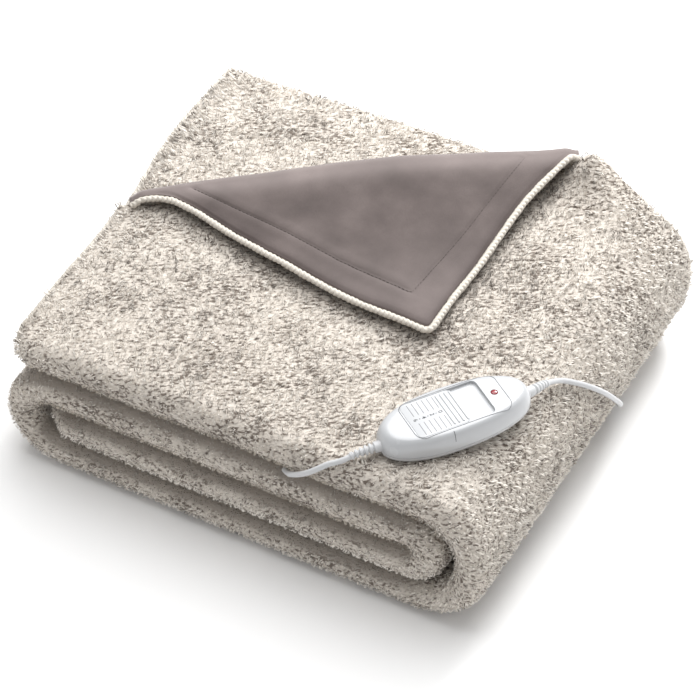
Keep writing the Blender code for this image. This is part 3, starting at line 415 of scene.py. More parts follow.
def closed_sheet(upper, lower):
    """A thin closed sheet between two grids of the same shape, with a strip round its rim."""
    rows, columns = upper.shape[:2]
    count = rows * columns
    index = np.arange(count).reshape(rows, columns)
    rim = np.r_[index[0, :], index[1:, -1], index[-1, -2::-1], index[-2:0:-1, 0]]
    after = np.roll(rim, -1)
    top = grid_faces(rows, columns)
    strip = np.stack([rim, rim + count, after + count, after], -1)
    faces = np.vstack([top, top[:, ::-1] + count, strip])
    return facing_out(np.vstack([upper.reshape(-1, 3), lower.reshape(-1, 3)]), [faces])


def facing_out(points, faces):
    """A closed surface with its faces turned outwards: if its signed volume is negative, all are reversed.

    The volume is summed over the triangles that fan out from each face's first corner.
    """
    volume = 0.0
    for same in faces:
        first = points[same[:, 0]]
        for k in range(1, same.shape[1] - 1):
            sides = np.cross(points[same[:, k]], points[same[:, k + 1]])
            volume += np.einsum("ij,ij->i", first, sides).sum()
    return points, (faces if volume > 0 else [same[:, ::-1] for same in faces])


def lofted(rings):
    """A closed surface through rings of equal count, with a fan of triangles at each end."""
    rings = np.asarray(rings, float)
    rows, columns = rings.shape[:2]
    points = np.vstack([rings.reshape(-1, 3), rings[0].mean(0), rings[-1].mean(0)])
    j = np.arange(columns)
    k = (j + 1) % columns
    last = (rows - 1) * columns
    low = np.stack([k, j, np.full(columns, rows * columns)], -1)
    high = np.stack([last + j, last + k, np.full(columns, rows * columns + 1)], -1)
    return facing_out(points, [grid_faces(rows, columns, wrap=True), np.vstack([low, high])])


def swept(path, radii, sides):
    """A round tube along a path: each ring is turned by the path's own direction, without twist.

    radii is one radius for all, one for each point, or one for each point and side.
    """
    way = unit(np.gradient(path, axis=0))
    side = np.empty_like(path)
    current = unit(np.cross(way[0], (0.0, 0.0, 1.0)) + 1e-9)
    for index, forward in enumerate(way):
        current = unit(current - forward * (current @ forward))
        side[index] = current
    up = np.cross(side, way)
    angle = np.linspace(0.0, 2 * math.pi, sides, endpoint=False)[None, :, None]
    if np.ndim(radii):
        radii = np.asarray(radii, float).reshape(len(path), -1)
    radii = np.broadcast_to(radii, (len(path), sides))
    ring = np.cos(angle) * side[:, None] + np.sin(angle) * up[:, None]
    return lofted(path[:, None] + ring * radii[..., None])


# ---- shape of the cloth
def bump(x, y, high, at_x, at_y, wide, deep):
    """A bell-shaped rise in plan: its height falls off with the square of the way from its middle."""
    return high * np.exp(-((x - at_x) / wide) ** 2 - ((y - at_y) / deep) ** 2)


def ridge(away, high, at, reach):
    """A bell-shaped ridge: its height falls off with the square of the way from its line."""
    return high * np.exp(-((away - at) / reach) ** 2)


def settle(points):
    """Moves points of the ideal stack to where the soft cloth lies, as the part's source does.

    The right end is deeper, the back left corner leans out, and the top is a low pillow that drops at the
    front left corner, rises by the turned corner and stays level under the hand control.
    """
    points = np.array(points, float)
    x, y, z = points[..., 0].copy(), points[..., 1].copy(), points[..., 2].copy()
    floor_layer = LAYERS["D"]["thick"]
    deepest = smoothstep(x / 0.36) * (1.0 - 0.8 * smoothstep((x - 0.365) / 0.05))
    height = np.clip((z - floor_layer) / (STACK_HEIGHT - floor_layer), 0.0, 1.3)
    along = np.clip(x / 0.47, 0.0, 1.0)
    deep = np.clip(y / BACK_DEPTH, 0.0, 1.0)
    back_left = smoothstep((y - 0.14) / 0.20) * (1.0 - smoothstep(x / 0.30))
    points[..., 1] = y * (1.0 + 0.030 * deepest)
    points[..., 0] = x - 0.022 * back_left * (0.3 + 0.7 * height)
    drop = bump(x, y, *FRONT_DROP)
    swell = 0.0025 * np.sin(np.pi * along) * np.sin(np.pi * deep)
    rise = bump(x, y, *FLAP_RISE)
    ripple = 0.0012 * np.sin(x / 0.034 + 1.0) * np.cos(y / 0.047)
    reach = np.hypot((x - HANDSET_AT[0]) / 0.075, (y - HANDSET_AT[1]) / 0.090)
    points[..., 2] = z + height * (swell + rise + ripple - drop) * smoothstep(reach - 0.6)
    return points


def layer_middle(name):
    """Height of a layer's middle above the floor."""
    return LAYERS[name]["under"] + LAYERS[name]["thick"] / 2


def layer_plump(name):
    """A layer's thickness as a share of the bundle's."""
    return LAYERS[name]["thick"] / BUNDLE


def straight(name, x_from, x_to, steps, plump_from, plump_to):
    """Stations along one layer: x, z, outward x, outward z, plumpness, which blends near each end."""
    t = np.linspace(0.0, 1.0, steps)
    run = abs(x_to - x_from) * np.minimum(t, 1.0 - t)
    ends = np.where(t < 0.5, plump_from, plump_to)
    plump = ends + (layer_plump(name) - ends) * smoothstep(run / 0.045)
    facing = np.full(steps, math.copysign(1.0, x_to - x_from))
    level = np.full(steps, layer_middle(name))
    return np.column_stack([x_from + (x_to - x_from) * t, level, np.zeros(steps), facing, plump])


def fold(name, centre_x, z_from, z_to, side, steps):
    """Stations round a fold between two heights: half a superellipse, with its own normals."""
    row = FOLDS[name]
    power = row["power"]
    reach = abs(z_from - z_to) / 2
    angle = np.linspace(0.0, math.pi, steps + 1)[1:-1]
    radial = (np.abs(np.cos(angle)) ** power + np.sin(angle) ** power) ** (-1.0 / power)
    out_x = radial * np.sin(angle)
    out_z = radial * np.cos(angle) * math.copysign(1.0, z_from - z_to)
    normal_x = np.abs(out_x) ** (power - 1.0) * side
    normal_z = np.abs(out_z) ** (power - 1.0) * np.sign(out_z)
    normal = unit(np.column_stack([normal_x, normal_z]))
    plump = row["first"] + (row["last"] - row["first"]) * smoothstep(angle / math.pi)
    middle = (z_from + z_to) / 2
    return np.column_stack([centre_x + side * reach * out_x, middle + reach * out_z, normal, plump])


def spiral():
    """The bundle's midline from the cut end of the top layer round to the cut end inside the stack."""
    a, b, c = (layer_middle(name) for name in "ABC")
    outer, left, inner = (FOLDS[name] for name in ("outer_right", "left", "inner_right"))
    inner_x = RIGHT_FOLD_X - 0.003
    end_a = END_PLUMP_A * layer_plump("A")
    end_c = END_PLUMP_C * layer_plump("C")
    rows = np.vstack([
        straight("A", LAYER_A_START, RIGHT_FOLD_X, LAYER_A_STATIONS, end_a, outer["first"]),
        fold("outer_right", RIGHT_FOLD_X, a, outer["last"] * BUNDLE / 2, 1.0, 27),
        straight("D", RIGHT_FOLD_X, LEFT_FOLD_X, 18, outer["last"], left["first"]),
        fold("left", LEFT_FOLD_X, left["first"] * BUNDLE / 2, b, -1.0, 20),
        straight("B", LEFT_FOLD_X, inner_x, 18, left["last"], inner["first"]),
        fold("inner_right", inner_x, b, c, 1.0, 14),
        straight("C", inner_x, LAYER_C_END, 18, inner["last"], end_c),
    ])
    lowest = (rows[:, 3] < -0.999) & (rows[:, 1] < LAYERS["C"]["under"])
    rows[lowest, 1] = rows[lowest, 4] * BUNDLE / 2
    return rows


SPIRAL = spiral()
SPIRAL_RUN = np.r_[0.0, np.cumsum(np.hypot(*np.diff(SPIRAL[:, :2], axis=0).T))]
IN_LAYER_A = np.arange(len(SPIRAL)) < LAYER_A_STATIONS


def end_inset():
    """How far the front fold draws back near a cut end: a quarter round of the corner's radius."""
    inset = np.zeros(len(SPIRAL))
    for run in (SPIRAL_RUN, SPIRAL_RUN[-1] - SPIRAL_RUN):
        reach = np.clip(CORNER_RADIUS - run, 0.0, CORNER_RADIUS)
        inset += CORNER_RADIUS - np.sqrt(CORNER_RADIUS ** 2 - reach ** 2)
    return np.minimum(inset, 0.75 * CORNER_RADIUS)


def crease_depth(x):
    """Depth of the turned corner's roll at this x: a straight line between its two ends."""
    slope = (CREASE_RIGHT[1] - CREASE_LEFT[1]) / (CREASE_RIGHT[0] - CREASE_LEFT[0])
    return CREASE_LEFT[1] + (x - CREASE_LEFT[0]) * slope


def letter_fold(free_edge):
    """The cloth across the bundle, for each station: depth, height, outward depth, outward height.

    Upper ply from its free edge to the front, a half round fold, lowest ply to the back, a half round
    fold, and the middle ply back to the front.
    """
    front = BUNDLE / 2 - FRONT_BULGE
    back_radius = PLY_PITCH / 2
    back = BACK_DEPTH - back_radius - PLY_HALF
    upper = np.linspace(0.0, 1.0, 52)[None, :]
    edge = np.asarray(free_edge)[:, None]
    count = len(edge)
    turn = np.linspace(0.0, math.pi, 16)[1:-1]
    back_turn = np.linspace(0.0, math.pi, 9)
    lowest = np.linspace(front, back, 14)[:-1]
    middle = np.linspace(back, MIDDLE_PLY_END, 32)[1:]

    def stretch(depth, height, out_depth, out_height):
        """One stretch of the fold: its four columns at a common length."""
        return np.stack(np.broadcast_arrays(depth, height, out_depth, out_height), -1)

    parts = [
        stretch(edge + (front - edge) * upper, PLY_PITCH, 0.0, 1.0),
        stretch(front - PLY_PITCH * np.sin(turn), PLY_PITCH * np.cos(turn), -np.sin(turn), np.cos(turn)),
        stretch(lowest, -PLY_PITCH, 0.0, -1.0),
        stretch(
            back + back_radius * np.sin(back_turn), -back_radius - back_radius * np.cos(back_turn),
            np.sin(back_turn), -np.cos(back_turn),
        ),
        stretch(middle, 0.0, 0.0, 1.0),
    ]
    return np.concatenate([np.broadcast_to(p, (count, *p.shape[-2:])) for p in parts], axis=1)


def folded_cloth(offset):
    """The cloth's surface at this offset from its midline, on the grid of stations by letter fold rows."""
    x, z, out_x, out_z, plump = (column[:, None] for column in SPIRAL.T)
    to_crease = np.minimum(UPPER_PLY_DEPTH, crease_depth(SPIRAL[:, 0]))
    rows = letter_fold(np.where(IN_LAYER_A, to_crease, UPPER_PLY_DEPTH))
    depth = rows[..., 0] + offset * rows[..., 2]
    height = (rows[..., 1] + offset * rows[..., 3]) * plump
    drawn = end_inset()[:, None] * np.clip(1.0 - depth / CORNER_DEPTH, 0.0, 1.0)
    return settle(np.stack([x + out_x * height, depth + drawn, z + out_z * height], -1))


def crease_frame():
    """The roll's axis: where it starts, its direction in plan and the direction in which the flap lies."""
    left = np.array(CREASE_LEFT)
    run = np.array(CREASE_RIGHT) - left
    along = run / np.linalg.norm(run)
    return left, along, np.array([along[1], -along[0]])


def flap_sizes(s):
    """Reach and roll radius at each place along the roll; the corner and the bends are eased a little."""
    table = np.array(FLAP_ROWS)
    fine = np.linspace(table[0, 0], table[-1, 0], 801)
    reach = np.interp(fine, table[:, 0], table[:, 1])
    window = np.hanning(23)
    eased = np.convolve(np.pad(reach, 11, mode="edge"), window / window.sum(), mode="valid")
    return np.interp(s, fine, eased), np.interp(s, table[:, 0], table[:, 2])


def flap_point(s, q, turn, offset):
    """The turned corner: a half circle up from the ply, then a sheet that comes down onto the pile.

    s runs along the roll, q out over the flap, turn round the roll, and offset towards the lining. Soft
    hollows run down the flap from the roll, and its two tips bend down into the plush.
    """
    left, along, across = crease_frame()
    s, q, turn, offset = np.broadcast_arrays(*(np.asarray(v, float) for v in (s, q, turn, offset)))
    radius = flap_sizes(s)[1]
    base = layer_middle("A") + PLY_PITCH * layer_plump("A")
    out = radius + offset
    on_roll = turn < math.pi
    ease = smoothstep(q / FLAP_SETTLE)
    resting = STACK_HEIGHT + FLAP_CLEAR + FLAP_HALF
    high = base + 2 * radius
    hollow = 0.0035 * np.sin(math.pi * np.clip(q / 0.10, 0.0, 1.0)) * np.exp(-((s - 0.19) / 0.085) ** 2)
    wave = 0.0012 * np.sin(s / 0.021 + q / 0.060) * smoothstep(q / 0.05) * smoothstep((0.30 - s) / 0.08)
    level = high + (resting - high) * ease - hollow + wave * (1.0 - ease * 0.5)
    sideways = np.where(on_roll, -out * np.sin(turn), q)
    z = np.where(on_roll, base + radius - out * np.cos(turn), level + offset)
    z = z - ridge(s, *LEFT_TIP) - ridge(FLAP_END - s, *RIGHT_TIP)
    x, y = (left[k] + along[k] * s + across[k] * sideways for k in (0, 1))
    return np.stack([x, y, z], -1)


def flap_surface(offset, first_turn, steps_along, steps_out, tail=0.0, shorten=0.0):
    """The turned corner at this offset: rows along the roll, columns round it and then out over the flap.

    A tail carries the sheet on, level, under the plush behind the roll.
    """
    s = np.linspace(0.0, FLAP_END, steps_along)[:, None]
    turns = np.linspace(first_turn, math.pi, ROLL_COLUMNS + 1)[None, :-1]
    reach = np.maximum(flap_sizes(s)[0] - shorten, 0.0003)
    parts = [
        flap_point(s, 0.0, turns, offset),
        flap_point(s, reach * np.linspace(0.0, 1.0, steps_out)[None, :], math.pi, offset),
    ]
    if tail:
        across = crease_frame()[2]
        start = flap_point(s, 0.0, 0.0, offset)
        parts.insert(0, start + np.array([across[0] * tail, across[1] * tail, 0.0]))
    return settle(np.concatenate(parts, axis=1))


# ---- materials
class Finish:
    """A procedural material as it is put together: its tree, its shader, and short ways to add nodes."""

    def __init__(self, name):
        """An empty material of this name."""
        self.material = bpy.data.materials.new(name)
        self.material.use_nodes = True
        self.tree = self.material.node_tree
        self.shader = self.tree.nodes["Principled BSDF"]

    def feed(self, node, inputs):
        """Fills a node's inputs: an output is linked, and a number or a colour is set on the input."""
        for name, value in inputs.items():
            if isinstance(value, bpy.types.NodeSocket):
                self.tree.links.new(value, node.inputs[name])
            else:
                node.inputs[name].default_value = value

    def node(self, kind, output, inputs):
        """A new node with its inputs filled, and the output to read from it."""
        made = self.tree.nodes.new(kind)
        self.feed(made, inputs)
        return made.outputs[output]

    def place(self):
        """Where each point lies in the piece's own space."""
        return self.node("ShaderNodeTexCoord", "Object", {})

    def mapped(self, vector, name, value):
        """A place turned or stretched before a pattern reads it."""
        return self.node("ShaderNodeMapping", "Vector", {name: value, "Vector": vector})

    def attribute(self, name):
        """The value that each point of the piece carries under this name."""
        made = self.tree.nodes.new("ShaderNodeAttribute")
        made.attribute_name = name
        return made.outputs["Fac"]

    def noise(self, scale, detail, vector):
        """Cloudy noise with this many waves to a metre."""
        return self.node("ShaderNodeTexNoise", "Fac", {"Scale": scale, "Detail": detail, "Vector": vector})

    def ramp(self, source, *stops):
        """A colour ramp: rows of place and colour."""
        made = self.tree.nodes.new("ShaderNodeValToRGB")
        while len(made.color_ramp.elements) < len(stops):
            made.color_ramp.elements.new(0.5)
        for element, (place, colour) in zip(made.color_ramp.elements, stops):
            element.position = place
            element.color = (*colour, 1.0)
        self.feed(made, {"Fac": source})
        return made.outputs["Color"]

    def mix(self, kind, share, first, second, blend="MIX"):
        """Two colours or two numbers, mixed by a share."""
        made = self.tree.nodes.new("ShaderNodeMix")
        made.data_type = kind
        made.blend_type = blend
        self.feed(made, {"Factor": share, "A": first, "B": second})
        return made.outputs["Result"]

    def done(self, inputs, height=None, strength=0.0, distance=0.0):
        """Fills the shader's inputs, with low relief from a height where there is one."""
        self.feed(self.shader, inputs)
        if height is not None:
            relief = {"Strength": strength, "Distance": distance, "Height": height}
            self.feed(self.shader, {"Normal": self.node("ShaderNodeBump", "Normal", relief)})
        return self.material


def pile_material():
    """Two-tone pile: brown at the root, taupe in the middle, cream at the tip; some tufts stay dark, and
    the tuft value and a lowered place up the pile also carry painted shade and painted shadow.
    """
    look = Finish("pile_cream_over_taupe")
    up = look.attribute("up_the_pile")
    light = look.ramp(
        up, (0.0, (0.20, 0.17, 0.145)), (0.20, (0.46, 0.415, 0.365)),
        (0.42, (0.80, 0.75, 0.685)), (0.95, (0.90, 0.855, 0.79)),
    )
    dark = look.ramp(
        up, (0.0, (0.06, 0.048, 0.040)), (0.5, (0.15, 0.125, 0.105)), (1.0, (0.34, 0.30, 0.26)),
    )
    colour = look.mix("RGBA", look.attribute("tuft"), light, dark)
    return look.done({
        "Base Color": colour, "Roughness": 0.85, "Sheen Weight": 0.25, "Sheen Roughness": 0.5,
    })


def backing_material():
    """The plush's dense lower pile: cream, with short dark partings drawn out across the nap, in drifts,
    and painted shade in plain brown in the front's creases.
    """
    look = Finish("plush_ground")
    turned = look.mapped(look.place(), "Rotation", (0.0, 0.0, -NAP_ACROSS))
    fine = look.noise(420.0, 3.0, look.mapped(turned, "Scale", (NAP_DRAWN, 1.0, 1.0)))
    both = look.tree.nodes.new("ShaderNodeMath")
    both.operation = "MULTIPLY_ADD"
    look.feed(both, {0: look.noise(24.0, 2.0, look.place()), 1: 0.35, 2: fine})
    colour = look.ramp(
        both.outputs["Value"],
        (0.52, (0.66, 0.61, 0.55)), (0.68, (0.56, 0.51, 0.455)), (0.80, (0.16, 0.132, 0.11)),
    )
    # Painted shade: under the roll above, in the front's creases, the ground turns a plain mid brown.
    under = look.mix("RGBA", look.attribute("painted_crease_shade"), colour, (0.370, 0.328, 0.288, 1.0))
    return look.done({"Base Color": under, "Roughness": 0.95}, fine, 0.8, 0.0012)


def lining_material():
    """Taupe velour: a soft nap in drifts, a fine grain, a sheen that lifts its folds, and a painted
    highlight and painted light added from a tone on the piece.
    """
    look = Finish("velour_lining")
    grain = look.noise(1500.0, 2.0, look.place())
    both = look.mix("FLOAT", 0.35, look.noise(26.0, 3.0, look.place()), grain)
    colour = look.ramp(
        both, (0.30, (0.056, 0.043, 0.040)), (0.52, (0.088, 0.069, 0.065)), (0.72, (0.128, 0.103, 0.097)),
    )
    # Painted highlight and light: the tone on the piece adds a paler taupe along the crest and towards the
    # corner.
    tint = look.mix("RGBA", look.attribute("painted_light_tone"), colour, (0.190, 0.166, 0.160, 1.0), "ADD")
    return look.done({
        "Base Color": tint, "Roughness": 0.75, "Specular IOR Level": 0.25, "Sheen Weight": 0.90,
        "Sheen Roughness": 0.35, "Sheen Tint": (0.90, 0.85, 0.82, 1.0),
    }, grain, 0.30, 0.0004)


def yarn_material(name, pale, deep, roughness=0.8):
    """Spun yarn: fine fibres run through a pale colour with a deeper one between them."""
    look = Finish(name)
    fibre = look.noise(1400.0, 3.0, look.place())
    colour = look.ramp(fibre, (0.28, deep), (0.60, pale))
    inputs = {"Base Color": colour, "Roughness": roughness, "Sheen Weight": 0.2}
    return look.done(inputs, fibre, 0.5, 0.0005)


def moulded_material(name, colour, roughness, coat=0.0, grain=0.08):
    """Moulded plastic: a very fine orange peel, and slight changes of gloss and tint over the surface."""
    look = Finish(name)
    broad = look.noise(45.0, 2.0, look.place())
    deeper = tuple(0.965 * c for c in colour)
    paler = tuple(min(1.0, 1.01 * c) for c in colour)
    gloss = look.node("ShaderNodeMapRange", "Result", {
        "To Min": roughness * 0.85, "To Max": roughness * 1.2, "Value": broad,
    })
    return look.done({
        "Base Color": look.ramp(broad, (0.25, deeper), (0.75, paler)), "Roughness": gloss,
        "Coat Weight": coat, "Coat Roughness": 0.08,
    }, look.noise(2200.0, 2.0, look.place()), grain, 0.0001)


def metal_material():
    """Drawn pin metal: fine scratches along the pin in a pale nickel colour."""
    look = Finish("pin_nickel")
    scratch = look.noise(2600.0, 3.0, look.mapped(look.place(), "Scale", (0.08, 1.0, 1.0)))
    tone = look.ramp(scratch, (0.3, (0.62, 0.57, 0.42)), (0.7, (0.80, 0.76, 0.62)))
    return look.done({"Base Color": tone, "Metallic": 1.0, "Roughness": 0.28}, scratch, 0.15, 0.0001)


PILE = pile_material()
GROUND = backing_material()
LINING = lining_material()
BINDING = yarn_material("binding_yarn", (0.70, 0.655, 0.585), (0.50, 0.455, 0.395))
THREAD = yarn_material("seam_thread", (0.075, 0.058, 0.050), (0.040, 0.030, 0.026))
SHELL = moulded_material("shell_white_gloss", (0.525, 0.535, 0.55), 0.25, 0.5)
SLIDER = moulded_material("slider_white", (0.55, 0.56, 0.575), 0.34, 0.1)
GROOVE = moulded_material("groove_shadow", (0.20, 0.205, 0.215), 0.5)
INK = moulded_material("printed_grey", (0.055, 0.057, 0.062), 0.55)
SHEATH = moulded_material("cord_sheath_white", (0.57, 0.575, 0.585), 0.36, 0.1, 0.2)
TIE = moulded_material("tie_clear_white", (0.72, 0.73, 0.74), 0.5)
RED = moulded_material("lens_red", (0.25, 0.004, 0.012), 0.10, 1.0, 0.0)
METAL = metal_material()


# ---- leads
def cord_object(name, path, *nodes):
    """A round lead: a curve with a bevel and closed ends, along points already worked out."""
    data = bpy.data.curves.new(name, "CURVE")
    data.dimensions = "3D"
    data.bevel_depth = CORD_RADIUS
    data.bevel_resolution = 3
    data.use_fill_caps = True
    line = data.splines.new("POLY")
    line.points.add(len(path) - 1)
    line.points.foreach_set("co", np.column_stack([placed(path), np.ones(len(path))]).ravel())
    line.use_smooth = True
    data.materials.append(SHEATH)
    return finished(bpy.data.objects.new(name, data), "cord_sheath", BODY, *nodes)


def stepped_turns(turns):
    """Whole turns, each reached over the last quarter of the way round, and three at the most."""
    return np.minimum(np.floor(turns) + smoothstep((turns % 1.0 - 0.75) / 0.25), 3.0)


def coil_path():
    """Two layers of turns round the coil's middle, from where the lead comes in to where the tail leaves.

    The lower layer winds in: each turn keeps its radius for three quarters of the way round and then
    steps in by one cord. It climbs onto itself and the upper layer winds out again in the same way.
    """
    come_in, leave = MAINS_ROUTE[-1, :2] - COIL_AT, TAIL_ROUTE[0, :2] - COIL_AT
    first = math.atan2(come_in[1], come_in[0])
    last = math.atan2(leave[1], leave[0]) + 7 * 2 * math.pi
    angle = np.arange(first, last, 2 * math.pi / 32)[1:-1]
    turns = angle / (2 * math.pi)
    steps_in = stepped_turns(np.minimum(turns, 3.999))
    steps_out = stepped_turns(np.clip(turns - 4.0, 0.0, None))
    radius = COIL_OUTER_TURN - COIL_PITCH * (steps_in - steps_out)
    radius += (np.hypot(*come_in) - COIL_OUTER_TURN) * (1.0 - smoothstep((angle - first) / 1.3))
    radius += (np.hypot(*leave) - COIL_OUTER_TURN) * smoothstep((angle - last) / 1.1 + 1.0)
    upper = COIL_UNDER + CORD_RADIUS + COIL_PITCH * smoothstep((turns - 3.75) / 0.30)
    x, y = COIL_AT[0] + radius * np.cos(angle), COIL_AT[1] + radius * np.sin(angle)
    return np.column_stack([x, y, upper])


def make_leads():
    """The short lead from the control into the cloth, and the mains lead with its stored turns."""
    short = smooth_route(BLANKET_LEAD_ROUTE, 0.003)
    blanket_lead = cord_object("lead_into_cloth", short, "blanket_lead")
    path = np.vstack([smooth_route(MAINS_ROUTE, 0.004), coil_path(), smooth_route(TAIL_ROUTE, 0.004)])
    mains = cord_object("mains_lead_whole", path, "mains_lead", "mains_coil", "mains_tail")


def bent_axis(root, root_way, end, end_way, steps):
    """A cubic from one point and direction to another, with the directions as long as the straight way."""
    h = np.linspace(0.0, 1.0, steps)[:, None]
    bend = np.linalg.norm(end - root)
    return (
        root * (2 * h ** 3 - 3 * h ** 2 + 1) + root_way * bend * (h ** 3 - 2 * h ** 2 + h)
        + end * (3 * h ** 2 - 2 * h ** 3) + end_way * bend * (h ** 3 - h ** 2)
    )


def make_relief(side, outward, route):
    """A tapered sleeve cut into rounded ribs, with a collar where it leaves the shell.

    Its radius falls evenly along it, less a raised cosine for each groove between the ribs.
    """
    way = unit(route[1] - route[0])
    end_of_shell = outward * HANDSET_LENGTH / 2
    root = handset_point(end_of_shell - outward * 0.004, 0.0, RELIEF_UP)
    root_way = unit(handset_point(end_of_shell + outward, 0.0, RELIEF_UP) - root)
    path = bent_axis(root, root_way, route[0] + way * 0.0004, way, 121)
    t = np.linspace(0.0, 1.0, 121)
    taper = RELIEF_ROOT + (RELIEF_TIP - RELIEF_ROOT) * t
    ribbed = (t > RIBS_FROM) & (t < 0.94)
    groove = np.where(ribbed, 0.5 - 0.5 * np.cos(2 * math.pi * (t - RIBS_FROM) / RIB_SHARE), 0.0)
    radii = taper * (1.0 - 0.38 * smoothstep(groove * 1.8 - 0.7))
    radii[-1] *= 0.9
    shape = swept(path, radii, 28)
    piece(f"{side}_ribbed", shape, SHEATH, "shell_plastic", side, smooth_angle=50)


def make_tie():
    """A flat band round the turns, with rounded corners: one closed ring at four widths and reaches."""
    half, half_high = 0.0102, 0.0052
    turn = math.radians(250)
    out = np.array([math.cos(turn), math.sin(turn), 0.0])
    side = np.array([-math.sin(turn), math.cos(turn), 0.0])
    middle = np.array([*COIL_AT, COIL_UNDER + 0.005]) + out * 0.0295
    across, up = rounded_ring(5, np.linspace(0.0, 2 * math.pi, 48, endpoint=False))
    across = across * (half + 0.0004)
    up = np.maximum(up * (half_high + 0.0003), -0.0060)
    rings = []
    for width, proud in ((-0.0038, 0.0), (-0.0038, 0.0007), (0.0038, 0.0007), (0.0038, 0.0)):
        scale = 1.0 + proud / half
        rise = np.array([0, 0, 1.0]) * (up * scale)[:, None]
        rings.append(middle + out * (across * scale)[:, None] + side * width + rise)
    faces = grid_faces(5, 48, wrap=True) % (4 * 48)
    shape = facing_out(np.array(rings).reshape(-1, 3), [faces])
    piece("coil_tie_band", shape, TIE, "tie", "coil_tie")


def make_plug():
    """A flat two-pin plug on the floor: a waisted body with finger grooves, and two half-sleeved pins.

    The body is a superellipse at each place along it, drawn in by a squared sine at the grooves.
    """
    heading = np.array([-1.0, 0.0, 0.0])
    side = np.array([0.0, -1.0, 0.0])
    upward = np.array([0.0, 0.0, 1.0])
    centre = np.array([*PLUG_AT, PLUG_THICK / 2 + GAP])
    back, half_width, half_thick = np.array(PLUG_BODY).T
    t = np.linspace(0.0, PLUG_LENGTH, 72)
    wide, thick = np.interp(t, back, half_width), np.interp(t, back, half_thick)
    grooves = 0.0004 * np.sin(np.clip((t - 0.012) / 0.012, 0.0, 1.0) * 4 * math.pi) ** 2
    across, up = rounded_ring(3.2, np.linspace(0.0, 2 * math.pi, 56, endpoint=False))
    across = ((wide - grooves)[:, None] * across)[..., None]
    rise = (thick[:, None] * up)[..., None]
    rings = centre - heading * t[:, None, None] + side * across + upward * rise
    piece("plug_shell", lofted(rings), SHELL, "shell_plastic", "plug_body", smooth_angle=45)
    t, radii = np.array(PIN_PROFILE).T
    for node, place in (("plug_pin_left", -0.5), ("plug_pin_right", 0.5)):
        root = centre + side * PIN_SPACING * place + heading * 0.0001
        pin = swept(root + heading * t[:, None], radii, 24)
        piece(f"{node}_turned", pin, METAL, "pin_metal", node, smooth_angle=35)


# ---- cloth pieces
def corner_lift(points):
    """The plush bunches up at both ends of the roll: the sum of small bell-shaped rises."""
    rises = sum(bump(points[..., 0], points[..., 1], *rise) for rise in PLUSH_RISES)
    return rises * smoothstep((points[..., 2] - 0.120) / 0.012)


def make_cloth():
    """The plush's ground, as a thin sheet through every fold, with the turned corner as part of it."""
    outer, inner = folded_cloth(PILE_GROUND), folded_cloth(-CLOTH_HALF)
    lift = corner_lift(outer)
    outer[..., 2] += lift
    inner[..., 2] += lift
    flap_out = flap_surface(-CLOTH_HALF, 0.0, 90, 34, tail=0.010)
    flap_in = flap_surface(FLAP_CLOTH, 0.0, 90, 34, tail=0.010, shorten=0.001)
    shape = merged([closed_sheet(outer, inner), closed_sheet(flap_out, flap_in)])
    cloth = piece("plush_cloth", shape, GROUND, "plush", "blanket", smooth_angle=180)
    normals = np.empty(3 * len(cloth.data.vertices), np.float32)
    cloth.data.vertices.foreach_get("normal", normals)
    # The share of painted shade in the front's creases, which the ground's material reads.
    label_points(cloth, "painted_crease_shade", crease_shade_share(shape[0], normals[2::3]))
    return cloth, outer, inner, flap_out


def crease_shade_share(points, tilt):
    """Painted shade: how far each place on the front lies under the roll above it, from how much it faces
    up.
    """
    below = (points[:, 1] < SHADED_CREASE_FRONT) & (points[:, 2] < SHADED_CREASE_TOP)
    inside = 1.0 - smoothstep((points[:, 0] - SHADED_CREASE_END) / SHADED_CREASE_FADE)
    return np.where(below, smoothstep((tilt - 0.36) / 0.40) * inside, 0.0)


def seam_depth(s, q):
    """Distance in plan from the hem's seam, in metres: the least over the seam's straight stretches."""
    seam = np.array(HEM_SEAM)
    shortest = np.full(np.broadcast(s, q).shape, 1.0)
    for (s0, q0), (s1, q1) in zip(seam[:-1], seam[1:]):
        run = np.array([s1 - s0, q1 - q0])
        share = np.clip(((s - s0) * run[0] + (q - q0) * run[1]) / (run @ run), 0.0, 1.0)
        shortest = np.minimum(shortest, np.hypot(s - s0 - run[0] * share, q - q0 - run[1] * share))
    return shortest


